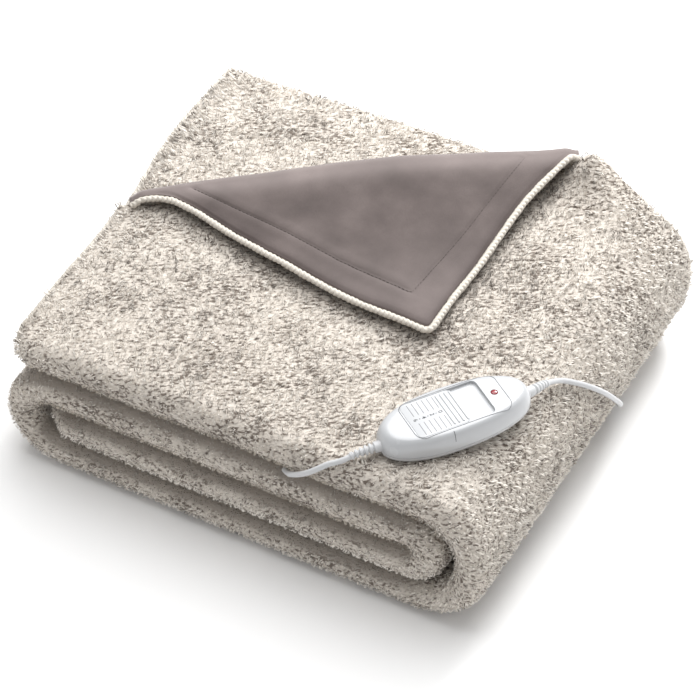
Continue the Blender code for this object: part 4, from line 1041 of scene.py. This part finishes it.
def make_lining():
    """The velour over the roll and the flap, pinched in a groove along its hem's seam, puffed beside it.

    It has a painted highlight along the roll's crest and painted light towards the corner, and is darker
    beside the edging.
    """
    steps_along, steps_out = 160, 66
    reach = flap_sizes(np.linspace(0.0, FLAP_END, steps_along)[:, None])[0]
    out = reach * np.linspace(0.0, 1.0, steps_out)[None, :]
    away = seam_depth(np.linspace(0.0, FLAP_END, steps_along)[:, None], out)
    relief = ridge(away, *HEM_PUFF) - ridge(away, *HEM_GROOVE)
    rounding = -HEM_ROUND * (1.0 - smoothstep((reach - out) / 0.006))
    lower = flap_surface(FLAP_CLOTH + 0.0002, LINING_TURN, steps_along, steps_out, shorten=0.0006)
    upper = flap_surface(FLAP_HALF + 0.0012, LINING_TURN, steps_along, steps_out, shorten=0.0006)
    folds = lattice_noise(upper, 0.055, 11) * 0.0009 + lattice_noise(upper, 0.021, 12) * 0.0003
    upper[..., 2] += folds
    upper[:, ROLL_COLUMNS:, 2] += relief + rounding
    shape = closed_sheet(upper, lower)
    lining = piece("velour_corner", shape, LINING, "lining", "lining_corner", smooth_angle=180)
    # Painted highlight along the crest and painted light towards the corner; darker beside the edging.
    tone = 0.06 + ridge(out, *CREST_HIGHLIGHT) + 0.26 * smoothstep((out - 0.060) / 0.110)
    tone = tone - ridge(reach - out, *EDGE_DARK) * smoothstep(reach / 0.03)
    # Painted highlight rising round the roll towards its crest.
    crest = np.tile(np.linspace(0.10, 0.64, ROLL_COLUMNS), (steps_along, 1))
    painted_light_tone = np.clip(np.concatenate([crest, tone], axis=1), 0.0, 1.0)
    label_points(lining, "painted_light_tone", np.tile(painted_light_tone.ravel(), 2))
    return lining, upper[:, ROLL_COLUMNS:]


def make_seam(surface):
    """The hem seam's stitches: short bowed threads sunk in the groove, one pitch apart."""
    seam = np.array(HEM_SEAM)
    seam = even_path(np.column_stack([seam, np.zeros(len(seam))]), HEM_STITCH)[:, :2]
    rows, columns = surface.shape[:2]
    row = np.interp(seam[:, 0], np.linspace(0.0, FLAP_END, rows), np.arange(rows))
    low = np.floor(row).astype(int).clip(0, rows - 2)
    column = (seam[:, 1] / flap_sizes(seam[:, 0])[0]).clip(0, 0.999) * (columns - 1)
    left = np.floor(column).astype(int).clip(0, columns - 2)
    knots = bilinear(surface, low, left, row - low, column - left) + np.array([0.0, 0.0, THREAD_BOW])
    bow = np.sin(np.linspace(0.0, math.pi, 6))
    parts = []
    for start, end in zip(knots[:-1], knots[1:]):
        line = start + (end - start) * np.linspace(0.12, 0.88, 6)[:, None]
        line[:, 2] += THREAD_BOW * bow - 0.0001
        parts.append(swept(line, THREAD_RADIUS * (0.55 + 0.45 * bow), 6))
    return piece("hem_stitches", merged(parts), THREAD, "lining", smooth_angle=60)


def end_binding_path():
    """Along the cut end of the top layer: up the folded plies to where the turned corner starts."""
    station = SPIRAL[0]
    rows = letter_fold(np.array([crease_depth(LAYER_A_START) + 0.0065]))[0][::-1, :2]
    depth, height = rows[:, 0], rows[:, 1] * station[4]
    drawn = end_inset()[0] * np.clip(1.0 - depth / CORNER_DEPTH, 0.0, 1.0)
    x = np.full(len(rows), station[0] - 0.0015)
    return settle(np.column_stack([x, depth + drawn, station[1] + height]))


def flap_edge_path():
    """Round the roll's left end, along the flap's free edge and round the roll's right end."""
    along, across = crease_frame()[1:]
    s = np.linspace(0.0, FLAP_END, 420)
    reach = flap_sizes(s)[0]
    edge = flap_point(s, reach, math.pi, FLAP_HALF * 0.55)
    slope = np.gradient(reach, s)
    out = unit(np.stack([-slope, np.ones_like(slope)], -1))
    edge[:, :2] += (along * out[:, :1] + across * out[:, 1:]) * (EDGING_RADIUS + 0.0001)
    return settle(edge)


def long_binding_path():
    """Along the free long edge at the back, all the way round the spiral."""
    shown = ~IN_LAYER_A | (SPIRAL[:, 0] > CREASE_RIGHT[0] + 0.008)
    x, z, out_x, out_z, plump = SPIRAL[shown].T
    depth = np.full(len(x), UPPER_PLY_DEPTH + 0.0018)
    height = PLY_PITCH * plump * 0.97
    return settle(np.column_stack([x + out_x * height, depth, z + out_z * height]))


def stitched_cord(path, radius, pitch, samples, sides):
    """An overcast edge: each stitch is a slanting swelling of the cord.

    Its radius is a rounded wave of the way along less a share of the turn round it, and slow waves along
    it make the stitches a little uneven.
    """
    even = even_path(path, pitch / samples)
    even = (even + np.vstack([even[:1], even[:-1]]) + np.vstack([even[1:], even[-1:]])) / 3.0
    run = np.arange(len(even))[:, None] / samples
    angle = np.linspace(0.0, 2 * math.pi, sides, endpoint=False)[None, :]
    wave = np.abs(np.sin(math.pi * (run - 0.50 * np.cos(angle) - 0.34 * np.sin(angle)))) ** 0.70
    uneven = 1.0 + 0.05 * np.sin(run * 1.7) + 0.04 * np.sin(run * 0.61 + 2.0)
    return swept(even, radius * (0.66 + 0.42 * wave) * uneven, sides)


def make_edging():
    """The cream overcast edging: fine where the turned corner shows it, plainer along the other edges."""
    corner = stitched_cord(even_path(flap_edge_path(), 0.001), EDGING_RADIUS, 0.76 * STITCH_PITCH, 10, 14)
    stack = merged([
        stitched_cord(even_path(end_binding_path(), 0.002), EDGING_RADIUS * 0.94, STITCH_PITCH, 6, 8),
        stitched_cord(even_path(long_binding_path(), 0.002), EDGING_RADIUS, STITCH_PITCH, 6, 8),
    ])
    return [
        piece("edging_of_corner", corner, BINDING, "binding", "edging", smooth_angle=180),
        piece("edging_of_stack", stack, BINDING, "binding", smooth_angle=180),
    ]


# ---- pile
def surface_frames(grid):
    """For each cell of a grid: its normal, its two directions and its area, from its four corners."""
    a, b, c, d = grid[:-1, :-1], grid[:-1, 1:], grid[1:, 1:], grid[1:, :-1]
    along = unit((c + d - a - b) / 2)
    back = unit((b + c - a - d) / 2)
    normal = np.cross(c - a, d - b)
    area = np.linalg.norm(normal, axis=-1) / 2
    return unit(normal), along, back, area


def free_distance(tree, starts, directions, limit):
    """How far a ray from each start goes before it meets the cloth or the floor."""
    far = np.full(len(starts), limit)
    for index, (start, way) in enumerate(zip(starts, directions)):
        hit = tree.ray_cast(Vector(start), Vector(way), limit)[3]
        if hit is not None:
            far[index] = hit
    falling = directions[:, 2] < -1e-6
    to_floor = np.where(falling, starts[:, 2] / np.maximum(-directions[:, 2], 1e-6), limit)
    return np.clip(np.minimum(far, to_floor), 0.0, limit)


def openness(tree, centres, normals):
    """Room above each cell, and whether it can be seen: the freest of its rays."""
    starts = centres + normals * RAY_START
    above = free_distance(tree, starts, normals, RAY_REACH)
    seen = above.copy()
    for lean in VIEWED_FROM:
        way = unit(normals * 0.45 + np.array(lean))
        inward = np.einsum("ij,ij->i", way, normals) < 0.05
        far = free_distance(tree, starts, way, RAY_REACH)
        seen = np.maximum(seen, np.where(inward, 0.0, far))
    return above, seen


def in_handset(points):
    """Share of the control's outline at which each point lies, the way out of it, and the room under it."""
    cos_h, sin_h = math.cos(HANDSET_HEADING), math.sin(HANDSET_HEADING)
    x, y = points[:, 0] - HANDSET_AT[0], points[:, 1] - HANDSET_AT[1]
    share = shell_share(x * cos_h + y * sin_h, -x * sin_h + y * cos_h)
    outward = unit(np.column_stack([x, y, np.zeros(len(x))]))
    rise = np.interp(share, *np.array(SHELL_BELLY).T)
    return share, outward, HANDSET_FLOOR + rise - points[:, 2]


def clump_pull(run, depth, seed):
    """For each blade, the way to the middle of its tuft and a random value for that tuft.

    Tufts are the cells nearest to jittered points on a slanting grid, twice as wide as they are long.
    """
    cos_t, sin_t = math.cos(TUFT_SLANT), math.sin(TUFT_SLANT)
    a = (depth * cos_t + run * sin_t) / TUFT_SIZE[0]
    b = (-depth * sin_t + run * cos_t) / TUFT_SIZE[1]
    jitter = np.random.default_rng(seed).random((TUFT_DRAWS, TUFT_DRAWS, 3))
    nearest = np.full(len(a), 1e9)
    to_a, to_b, value = np.zeros(len(a)), np.zeros(len(a)), np.zeros(len(a))
    for da, db in np.ndindex(3, 3):
        cell_a, cell_b = np.floor(a).astype(int) + da - 1, np.floor(b).astype(int) + db - 1
        drawn = jitter[cell_a % TUFT_DRAWS, cell_b % TUFT_DRAWS]
        way_a, way_b = cell_a + drawn[:, 0] - a, cell_b + drawn[:, 1] - b
        closer = way_a ** 2 + way_b ** 2 < nearest
        nearest = np.where(closer, way_a ** 2 + way_b ** 2, nearest)
        to_a, to_b = np.where(closer, way_a, to_a), np.where(closer, way_b, to_b)
        value = np.where(closer, drawn[:, 2], value)
    to_a, to_b = to_a * TUFT_SIZE[0], to_b * TUFT_SIZE[1]
    return to_b * cos_t + to_a * sin_t, to_a * cos_t - to_b * sin_t, value


def blades(root, normal, along, back, pull, tuft, room, seed):
    """Four points for each blade: a leaf that leaves the cloth upright and bends with the nap.

    The nap leans to the front and to the right; slow noise turns it, so that the pile lies in drifts, and
    each tuft leans its own way a little. The tip is drawn to the middle of its tuft, which opens dark
    partings between tufts.
    """
    draw = np.random.default_rng(seed)
    count = len(root)
    drift = lattice_noise(root, 0.034, seed + 1)
    swirl = lattice_noise(root, 0.013, seed + 2)
    turn = NAP_TURN + 0.75 * drift + 0.70 * swirl + (tuft - 0.5) * 0.9
    nap = unit(-back * np.cos(turn)[:, None] + along * np.sin(turn)[:, None])
    lean = 34.0 + 15.0 * lattice_noise(root, 0.022, seed + 3) + 9.0 * draw.standard_normal(count)
    lean = np.clip(np.radians(lean), 0.1, 1.35)
    thick = 0.92 + 0.18 * lattice_noise(root, 0.020, seed + 4) + 0.20 * (tuft - 0.5)
    thick = thick + 0.50 * lattice_noise(across_nap(root), 0.0052, seed + 5)
    length = PILE_LENGTH * np.clip(thick, 0.35, 1.5) * draw.uniform(0.78, 1.12, count)
    length = np.minimum(length, np.maximum(room, 0.0012) / np.maximum(np.cos(lean), 0.45) * 0.9)
    tip = normal * (length * np.cos(lean))[:, None] + nap * (length * np.sin(lean))[:, None]
    tip = tip + pull * (0.85 * np.clip(length / PILE_LENGTH, 0.0, 1.0))[:, None]
    tip = tip + draw.normal(0.0, 0.00045, (count, 3))
    knee = normal * (length * 0.50)[:, None] + tip * 0.12
    flat = unit(np.cross(tip, normal) + 1e-9)
    spin = draw.normal(0.0, 0.45, count)
    width = flat * np.cos(spin)[:, None] + normal * np.sin(spin)[:, None]
    width = width * (PILE_WIDTH * draw.uniform(0.7, 1.3, count))[:, None] / 2
    lower = root + knee * 0.62 + tip * 0.10 + width
    upper = root + tip * 0.55 + knee * 0.30 - width
    return np.stack([root, lower, upper, root + tip], 1)


def grow(grid, under, share_of, cut_run, cut_depth, tree, seed):
    """Where blades stand: cells are drawn by area and weight, and each blade has a random place in one.

    For each blade: its root, the cloth's normal and two directions, the pull of its tuft, the tuft's value
    and the room above it.
    """
    normal, along, back, area = surface_frames(grid)
    facing = np.einsum("ijk,ijk->ij", normal, grid[:-1, :-1] - under[:-1, :-1])
    normal = normal * np.where(facing < 0, -1.0, 1.0)[..., None]
    centres = (grid[:-1, :-1] + grid[1:, 1:] + grid[:-1, 1:] + grid[1:, :-1]) / 4
    above, seen = openness(tree, centres.reshape(-1, 3), normal.reshape(-1, 3))
    weight = area.ravel() * smoothstep((seen - 0.010) / 0.030) * share_of.ravel()
    draw = np.random.default_rng(seed)
    cell = draw.choice(area.size, size=BLADES, p=weight / weight.sum())
    cell.sort()
    i, j = np.divmod(cell, grid.shape[1] - 1)
    a, b = draw.random((2, len(cell)))
    run = cut_run[i] + (cut_run[i + 1] - cut_run[i]) * a
    depth = cut_depth[j] + (cut_depth[j + 1] - cut_depth[j]) * b
    pull_run, pull_depth, tuft = clump_pull(run, depth, seed + 9)
    up, u, v = (field.reshape(-1, 3)[cell] for field in (smoothed(normal), along, back))
    pull = u * pull_run[:, None] + v * pull_depth[:, None]
    return bilinear(grid, i, j, a, b), up, u, v, pull, tuft, above[cell]


def smoothed(field):
    """A field of directions on the grid, each eased with its four neighbours."""
    padded = np.pad(field, ((1, 1), (1, 1), (0, 0)), mode="edge")
    beside = padded[:-2, 1:-1], padded[2:, 1:-1], padded[1:-1, :-2], padded[1:-1, 2:]
    return unit(sum(beside, padded[1:-1, 1:-1] * 2))


def bilinear(grid, i, j, a, b):
    """Points inside a grid's cells, at shares a and b of the way across each cell."""
    a, b = a[:, None], b[:, None]
    return (
        grid[i, j] * (1 - a) * (1 - b) + grid[i + 1, j] * a * (1 - b)
        + grid[i, j + 1] * (1 - a) * b + grid[i + 1, j + 1] * a * b
    )


def pile_piece(name, points, up, tuft):
    """One piece of pile, with how far up the pile each point is and how dark its tuft is, painted shade and
    shadow included.
    """
    first = 4 * np.arange(len(points))[:, None]
    faces = np.concatenate([first + np.array([0, 1, 2]), first + np.array([1, 3, 2])], axis=1)
    shape = (points.reshape(-1, 3), [faces.reshape(-1, 3)])
    made = piece(name, shape, PILE, "plush", smooth_angle=180)
    label_points(made, "up_the_pile", up)
    label_points(made, "tuft", np.repeat(tuft, 4))
    return made


def make_pile(outer, inner, flap):
    """Blades over all of the plush that shows: none where the control presses, and bent out beside it.

    They are short on the front and in the creases between its rolls, and reach out at the top layer's
    left end.
    """
    points = np.vstack([outer.reshape(-1, 3), flap.reshape(-1, 3)])
    faces = np.vstack([grid_faces(*outer.shape[:2]), grid_faces(*flap.shape[:2]) + outer[..., 0].size])
    tree = BVHTree.FromPolygons(points.tolist(), faces.tolist())
    across = np.r_[0.0, np.cumsum(np.linalg.norm(np.diff(outer[MIDDLE_ROW], axis=0), axis=1))]
    at_back = (outer[:-1, :-1, 1] + outer[1:, 1:, 1]) / 2 > BACK_SIDE
    found = grow(outer, inner, np.where(at_back, BACK_SHARE, 1.0), SPIRAL_RUN, across, tree, PILE_SEED)
    root, normal, room = found[0], found[1], found[-1]
    share, away, under = in_handset(root)
    on_top = (root[:, 2] > TOP_LAYER) & (normal[:, 2] > 0.0)
    room = np.where(on_top, np.minimum(room, under), room)
    kept = ~(on_top & (room < 0.0006))
    root, normal, along, back, pull, tuft, room, share, away, on_top = (
        values[kept] for values in (*found[:-1], room, share, away, on_top)
    )
    in_front = (root[:, 1] < FRONT_SIDE) & (normal[:, 2] < 0.6)
    # Painted shade in the front's creases; the same share also shortens the pile there.
    in_crease_shade = crease_shade_share(root, normal[:, 2])
    short = np.minimum(room, FRONT_PILE - 0.0012 * in_crease_shade)
    room = np.where(in_front | (in_crease_shade > 0.0), short, room)
    points = blades(root, normal, along, back, pull, tuft, room, PILE_SEED + 20)
    up = np.tile(np.array(BLADE_SHARES), (len(root), 1))
    at_end = smoothstep((LEFT_END - root[:, 0]) / 0.012) * (root[:, 2] > 0.108)
    points[..., 0] -= (0.0045 * at_end)[:, None] * up
    near = (on_top & (share < 1.12))[:, None]
    push = away * (0.0036 * smoothstep((1.12 - share) / 0.20))[:, None]
    points = points + np.where(near, push, 0.0)[:, None] * up[..., None]
    points[..., 2] = np.maximum(points[..., 2], 0.0004)
    return points, up, tuft, root, normal, in_crease_shade


def flap_shadow_share(root):
    """Painted shadow under the flap's free edge: how near each place is to that edge in plan, 1 at it, none
    from 27 mm away.
    """
    shortest = np.full(len(root), 1.0)
    for spot in flap_edge_path()[::3, :2]:
        shortest = np.minimum(shortest, np.hypot(root[:, 0] - spot[0], root[:, 1] - spot[1]))
    on_top = np.where(root[:, 2] > TOP_LAYER, smoothstep((root[:, 0] - LEFT_END) / 0.020), 0.0)
    return on_top * (1.0 - smoothstep((shortest - 0.007) / 0.020))


def across_nap(points):
    """The same places turned to the nap and drawn out across it, so that noise there makes long tufts."""
    cos_n, sin_n = math.cos(NAP_ACROSS), math.sin(NAP_ACROSS)
    across = (points[:, 0] * cos_n + points[:, 1] * sin_n) * NAP_DRAWN
    return np.column_stack([across, -points[:, 0] * sin_n + points[:, 1] * cos_n, points[:, 2]])


def shade_of_tufts(root, tuft, seed):
    """How dark each blade is: most are pale, but brown fibres lie in short partings across the nap.

    The partings are smooth noise drawn out along the nap's cross direction, at two sizes, and slow noise
    makes them closer in some drifts than in others.
    """
    draw = np.random.default_rng(seed)
    turned = across_nap(root)
    fine = 0.68 * lattice_noise(turned, 0.0019, seed + 1) + 0.46 * lattice_noise(turned, 0.0050, seed + 2)
    drift = 0.30 * lattice_noise(root, 0.045, seed + 3) + 0.18 * lattice_noise(turned, 0.015, seed + 4)
    dark = smoothstep((fine + drift - 0.16) / 0.42)
    return np.clip(0.85 * dark + 0.10 * tuft + draw.normal(0.0, 0.08, len(root)), 0.0, 1.0)


def make_pile_pieces(outer, inner, flap):
    """The pile shaded, with painted shade in the front's creases and a painted shadow beside the turned
    corner, and cut into pieces by side.
    """
    points, up, tuft, root, normal, in_crease_shade = make_pile(outer, inner, flap)
    shade = shade_of_tufts(root, tuft, SHADE_SEED)
    # Painted shade: blades in the front's creases are drawn to an even mid brown.
    shade = shade + (0.62 - shade) * 0.92 * in_crease_shade
    # Painted shadow of the flap's lifted edge on the pile beside it.
    flap_shadow = flap_shadow_share(root)
    shade = np.clip(shade + flap_shadow * (0.34 + 0.9 * shade), 0.0, 1.0)
    # Painted shade and shadow: these blades take their colour from lower up the pile, nearer the dark root.
    up = up * (1.0 - 0.62 * flap_shadow ** 2 - 0.30 * in_crease_shade)[:, None]
    sides = {
        "top": (normal[:, 2] > 0.55) & (root[:, 2] > 0.10),
        "front": root[:, 1] < FRONT_SIDE,
        "back": root[:, 1] > 0.395,
        "right": root[:, 0] > 0.30,
        "left": np.full(len(root), True),
    }
    made = []
    taken = np.zeros(len(root), bool)
    for side, chosen in sides.items():
        picked = np.flatnonzero(chosen & ~taken)
        taken |= chosen
        parts = max(1, math.ceil(len(picked) / BLADES_A_PIECE))
        for number, some in enumerate(np.array_split(picked, parts)):
            if len(some):
                made.append(pile_piece(f"pile_{side}_{number + 1}", points[some], up[some], shade[some]))
    return made


# ---- hand control
def handset_point(along, side, up):
    """From the control's own frame (towards the lens, towards the far side, up) to the stack's."""
    cos_h, sin_h = math.cos(HANDSET_HEADING), math.sin(HANDSET_HEADING)
    along, side, up = np.broadcast_arrays(*(np.asarray(v, float) for v in (along, side, up)))
    x = HANDSET_AT[0] + along * cos_h - side * sin_h
    y = HANDSET_AT[1] + along * sin_h + side * cos_h
    return np.stack([x, y, HANDSET_FLOOR + up], axis=-1)


def egg(share_long, share_wide):
    """The control's outline from above: a superellipse, narrower towards the lens."""
    along, side = rounded_ring(SHELL_POWER, np.linspace(0.0, 2 * math.pi, 120, endpoint=False))
    width = HANDSET_WIDTH / 2 * share_wide * shell_taper(along)
    return np.column_stack([along * HANDSET_LENGTH / 2 * share_long, side * width])


def shell_taper(along):
    """The control's width at a place along it, as a share: it falls towards the lens and at both ends."""
    return 1.0 - 0.045 * along - 0.075 * along ** 2


def shell_share(along, side):
    """How far out a place in plan lies: 1 on the control's widest outline."""
    far = along / (HANDSET_LENGTH / 2)
    wide = side / (HANDSET_WIDTH / 2 * shell_taper(np.clip(far, -1.0, 1.0)))
    return (np.abs(far) ** SHELL_POWER + np.abs(wide) ** SHELL_POWER) ** (1 / SHELL_POWER)


def shell_loft(levels, steps_up):
    """A shell through level outlines: rows of height, length share and width share, eased between."""
    table = smooth_route(np.array(levels), 1.0 / steps_up / 40)
    keep = np.linspace(0, len(table) - 1, steps_up).round().astype(int)
    return lofted([handset_point(*egg(long, wide).T, up) for up, long, wide in table[keep]])


def rounded_outline(low, high, width, corner, steps=9):
    """A rounded rectangle in the control's frame, from one end to the other along it."""
    angle = np.linspace(0.0, math.pi / 2, steps)
    side = width / 2 - corner
    corners = []
    for quarter, (x, y) in enumerate((
        (high - corner, side), (low + corner, side), (low + corner, -side), (high - corner, -side),
    )):
        turned = angle + quarter * math.pi / 2
        corners.append(np.column_stack([x + corner * np.cos(turned), y + corner * np.sin(turned)]))
    return np.vstack(corners)


def plate(outline, levels):
    """A plate through the same outline at several heights: rows of height and how far it is drawn in."""
    middle = outline.mean(0)
    way = unit(outline - middle)
    return lofted([handset_point(*(outline - way * inset).T, up) for up, inset in levels])


def cut_out(made, cutters):
    """Cuts closed shapes out of a finished piece and keeps the result as its own mesh."""
    holders = []
    for number, (points, faces) in enumerate(cutters):
        mesh = bpy.data.meshes.new(f"cutter_{number}")
        mesh.from_pydata(placed(points).tolist(), [], [f for same in faces for f in same.tolist()])
        holder = bpy.data.objects.new(f"cutter_{number}", mesh)
        bpy.context.scene.collection.objects.link(holder)
        holders.append(holder)
        boolean = made.modifiers.new(f"cut {number}", "BOOLEAN")
        boolean.operation = "DIFFERENCE"
        boolean.solver = "EXACT"
        boolean.object = holder
    bpy.context.view_layer.update()
    graph = bpy.context.evaluated_depsgraph_get()
    result = bpy.data.meshes.new_from_object(made.evaluated_get(graph))
    made.modifiers.clear()
    made.data = result
    result.shade_smooth()
    result.set_sharp_from_angle(angle=math.radians(32))
    for holder in holders:
        bpy.data.objects.remove(holder, do_unlink=True)


def make_shells():
    """Lower and upper shells: smooth rounds that meet in a fine parting, with the window cut out."""
    lower = shell_loft(LOWER_SHELL, 26)
    piece("control_lower_shell", lower, SHELL, "shell_plastic", "handset_base")
    upper = shell_loft(UPPER_SHELL, 46)
    cover = piece("control_upper_shell", upper, SHELL, "shell_plastic", "handset_cover")
    points, faces = upper
    tree = BVHTree.FromPolygons(points.tolist(), [f for same in faces for f in same.tolist()])
    outline = rounded_outline(WINDOW["low"], WINDOW["high"] + 0.0006, WINDOW["width"], WINDOW["corner"])
    above = (HANDSET_TOP + 0.004, 0.0)
    cut_out(cover, [
        plate(outline, [(HANDSET_TOP - 0.0025, 0.0), above]),
        plate(circle(LENS_ALONG, LENS_HOLE, 40), [(HANDSET_TOP - 0.0030, 0.0), above]),
    ])
    return tree


def make_slider():
    """The heat switch: a flat plate with soft edges and four raised grip ribs at its right hand end."""
    low, high = WINDOW["low"] + GAP, WINDOW["low"] + SLIDER_LENGTH
    outline = rounded_outline(low, high, WINDOW["width"] - 2 * GAP, WINDOW["corner"] - GAP)
    parts = [plate(outline, [(HANDSET_TOP + up, inset) for up, inset in SLIDER_EDGE])]
    for index in range(4):
        middle = high - 0.0012 - index * RIB_PITCH
        bar = rounded_outline(middle - 0.00075, middle + 0.00075, WINDOW["width"] - 0.005, 0.00055, 5)
        parts.append(plate(bar, [(HANDSET_TOP + up, inset) for up, inset in RIB_EDGE]))
    piece(
        "heat_switch_plate", merged(parts), SLIDER, "slider_plastic", "heat_slider",
        body=SWITCH, smooth_angle=30,
    )


def make_scale():
    """Printed scale on the switch, read from the long lead's end: lines in two banks, dots and digits."""
    up = HANDSET_TOP + 0.00012
    print_levels = [(up - 0.0001, 0.0), (up + 0.00004, 0.0)]
    parts = []
    for middle in PRINT_ROWS:
        for along in np.linspace(*PRINT_ENDS, 6):
            line = rounded_outline(along - 0.00020, along + 0.00020, 0.0145, 0.0001, 3)
            line[:, 1] += middle
            parts.append(plate(line, print_levels))
    places = sorted(DIGITS.values())
    for low, high in zip(places[:-1], places[1:]):
        parts.append(plate(circle((low + high) / 2, 0.00055, 14), print_levels))
    piece("scale_lines", merged(parts), INK, "slider_plastic", body=SWITCH, smooth_angle=0)
    for digit, along in DIGITS.items():
        make_digit(digit, along, up)


def make_digit(digit, along, up):
    """One digit of the scale, a thin raised print whose top points to the lens."""
    data = bpy.data.curves.new(f"digit_{digit}", "FONT")
    data.body = digit
    data.size = DIGIT_SIZE
    data.extrude = 0.00007
    data.offset = 0.00006
    data.align_x = "CENTER"
    data.align_y = "CENTER"
    data.resolution_u = 4
    holder = bpy.data.objects.new(f"digit_{digit}_curve", data)
    bpy.context.scene.collection.objects.link(holder)
    bpy.context.view_layer.update()
    mesh = bpy.data.meshes.new_from_object(holder.evaluated_get(bpy.context.evaluated_depsgraph_get()))
    bpy.data.objects.remove(holder, do_unlink=True)
    flat = np.empty(len(mesh.vertices) * 3)
    mesh.vertices.foreach_get("co", flat)
    x, y, z = flat.reshape(-1, 3).T
    mesh.vertices.foreach_set("co", placed(handset_point(along + y, -x, up + z)).ravel())
    mesh.update()
    mesh.materials.clear()
    mesh.materials.append(INK)
    finished(bpy.data.objects.new(f"digit_{digit}", mesh), "slider_plastic", SWITCH)


def on_shell(tree, along, side):
    """Points a hair over the upper shell, straight over these places in plan."""
    above = handset_point(along, side, 0.05)
    met = [tree.ray_cast(Vector(start), Vector((0.0, 0.0, -1.0)))[0] for start in above]
    return np.array(met) + np.array([0.0, 0.0, MARK_LIFT])


def make_panel_marks(tree):
    """The groove round the switch's panel, and the setting marks on both sides of the shell."""
    outline = rounded_outline(*PANEL, 12)
    ring = np.column_stack([np.vstack([outline, outline[:1]]), np.zeros(len(outline) + 1)])
    ring = even_path(ring, 0.0010)
    groove = swept(on_shell(tree, ring[:, 0], ring[:, 1]), GROOVE_RADIUS, 6)
    piece("panel_groove", groove, GROOVE, "shell_plastic", smooth_angle=60)
    marks = []
    for side in (1.0, -1.0):
        across = np.linspace(*MARK_ACROSS, 12) * side
        marks.append(swept(on_shell(tree, np.full(12, DIGITS["0"]), across), MARK_RADIUS, 6))
    piece("setting_marks", merged(marks), INK, "shell_plastic", smooth_angle=60)


def make_lens():
    """The indicator's red lens: an upright round post with a quarter ellipse turned over it as a dome."""
    t = np.linspace(0.0, math.pi / 2, 12)
    heights = np.r_[-LENS_DEPTH, -LENS_RIM, LENS_DOME * np.sin(t)]
    radii = np.r_[LENS_RADIUS, LENS_RADIUS, LENS_RADIUS * np.cos(t).clip(0.03)]
    rings = [
        handset_point(*circle(LENS_ALONG, radius, 40).T, HANDSET_TOP + height)
        for height, radius in zip(heights, radii)
    ]
    piece("indicator_dome", lofted(rings), RED, "red_lens", "indicator_lens", smooth_angle=60)


# ---- floor, light and order
def make_stage():
    """A white floor that runs out of sight, a wide soft light overhead, one behind, and the room."""
    mesh = bpy.data.meshes.new("floor")
    corners = [(6.0 * x, 6.0 * y, -GAP) for x, y in ((-1, -1), (1, -1), (1, 1), (-1, 1))]
    mesh.from_pydata(corners, [], [(0, 1, 2, 3)])
    look = Finish("white_sweep")
    faint = look.noise(3.0, 2.0, look.place())
    tone = look.ramp(faint, (0.3, (0.96, 0.96, 0.96)), (0.7, (0.98, 0.98, 0.98)))
    mesh.materials.append(look.done({"Base Color": tone, "Roughness": 0.9}))
    floor = bpy.data.objects.new("floor", mesh)
    bpy.context.scene.collection.objects.link(floor)
    for name, place, size, power in (
        ("soft_overhead", (-0.14, 0.55, 2.3), 2.8, 60.0),
        ("window_behind", (0.15, 1.45, 1.35), 0.7, 30.0),
    ):
        data = bpy.data.lights.new(name, "AREA")
        data.shape = "DISK"
        data.size = size
        data.energy = power
        light = bpy.data.objects.new(name, data)
        light.location = place
        aim = Vector((0.0, 0.0, 0.1)) - Vector(place)
        light.rotation_euler = aim.to_track_quat("-Z", "Y").to_euler()
        bpy.context.scene.collection.objects.link(light)
    world = bpy.data.worlds.new("soft_room")
    bpy.context.scene.world = world
    world.use_nodes = True
    background = world.node_tree.nodes["Background"]
    background.inputs["Color"].default_value = (1.0, 1.0, 1.0, 1.0)
    background.inputs["Strength"].default_value = 0.50
    bpy.context.scene.view_settings.view_transform = "Standard"
    bpy.context.scene.view_settings.look = "None"


def main():
    """Makes every piece."""
    make_camera()
    make_relief("relief_blanket_side", -1.0, BLANKET_LEAD_ROUTE)
    make_relief("relief_mains_side", 1.0, MAINS_ROUTE)
    make_tie()
    make_plug()
    make_leads()
    cloth, outer, inner, flap = make_cloth()
    lining, lining_top = make_lining()
    stitches = make_seam(lining_top)
    edging = make_edging()
    pile = make_pile_pieces(outer, inner, flap)
    shell_tree = make_shells()
    make_slider()
    make_scale()
    make_panel_marks(shell_tree)
    make_lens()
    make_stage()


main()
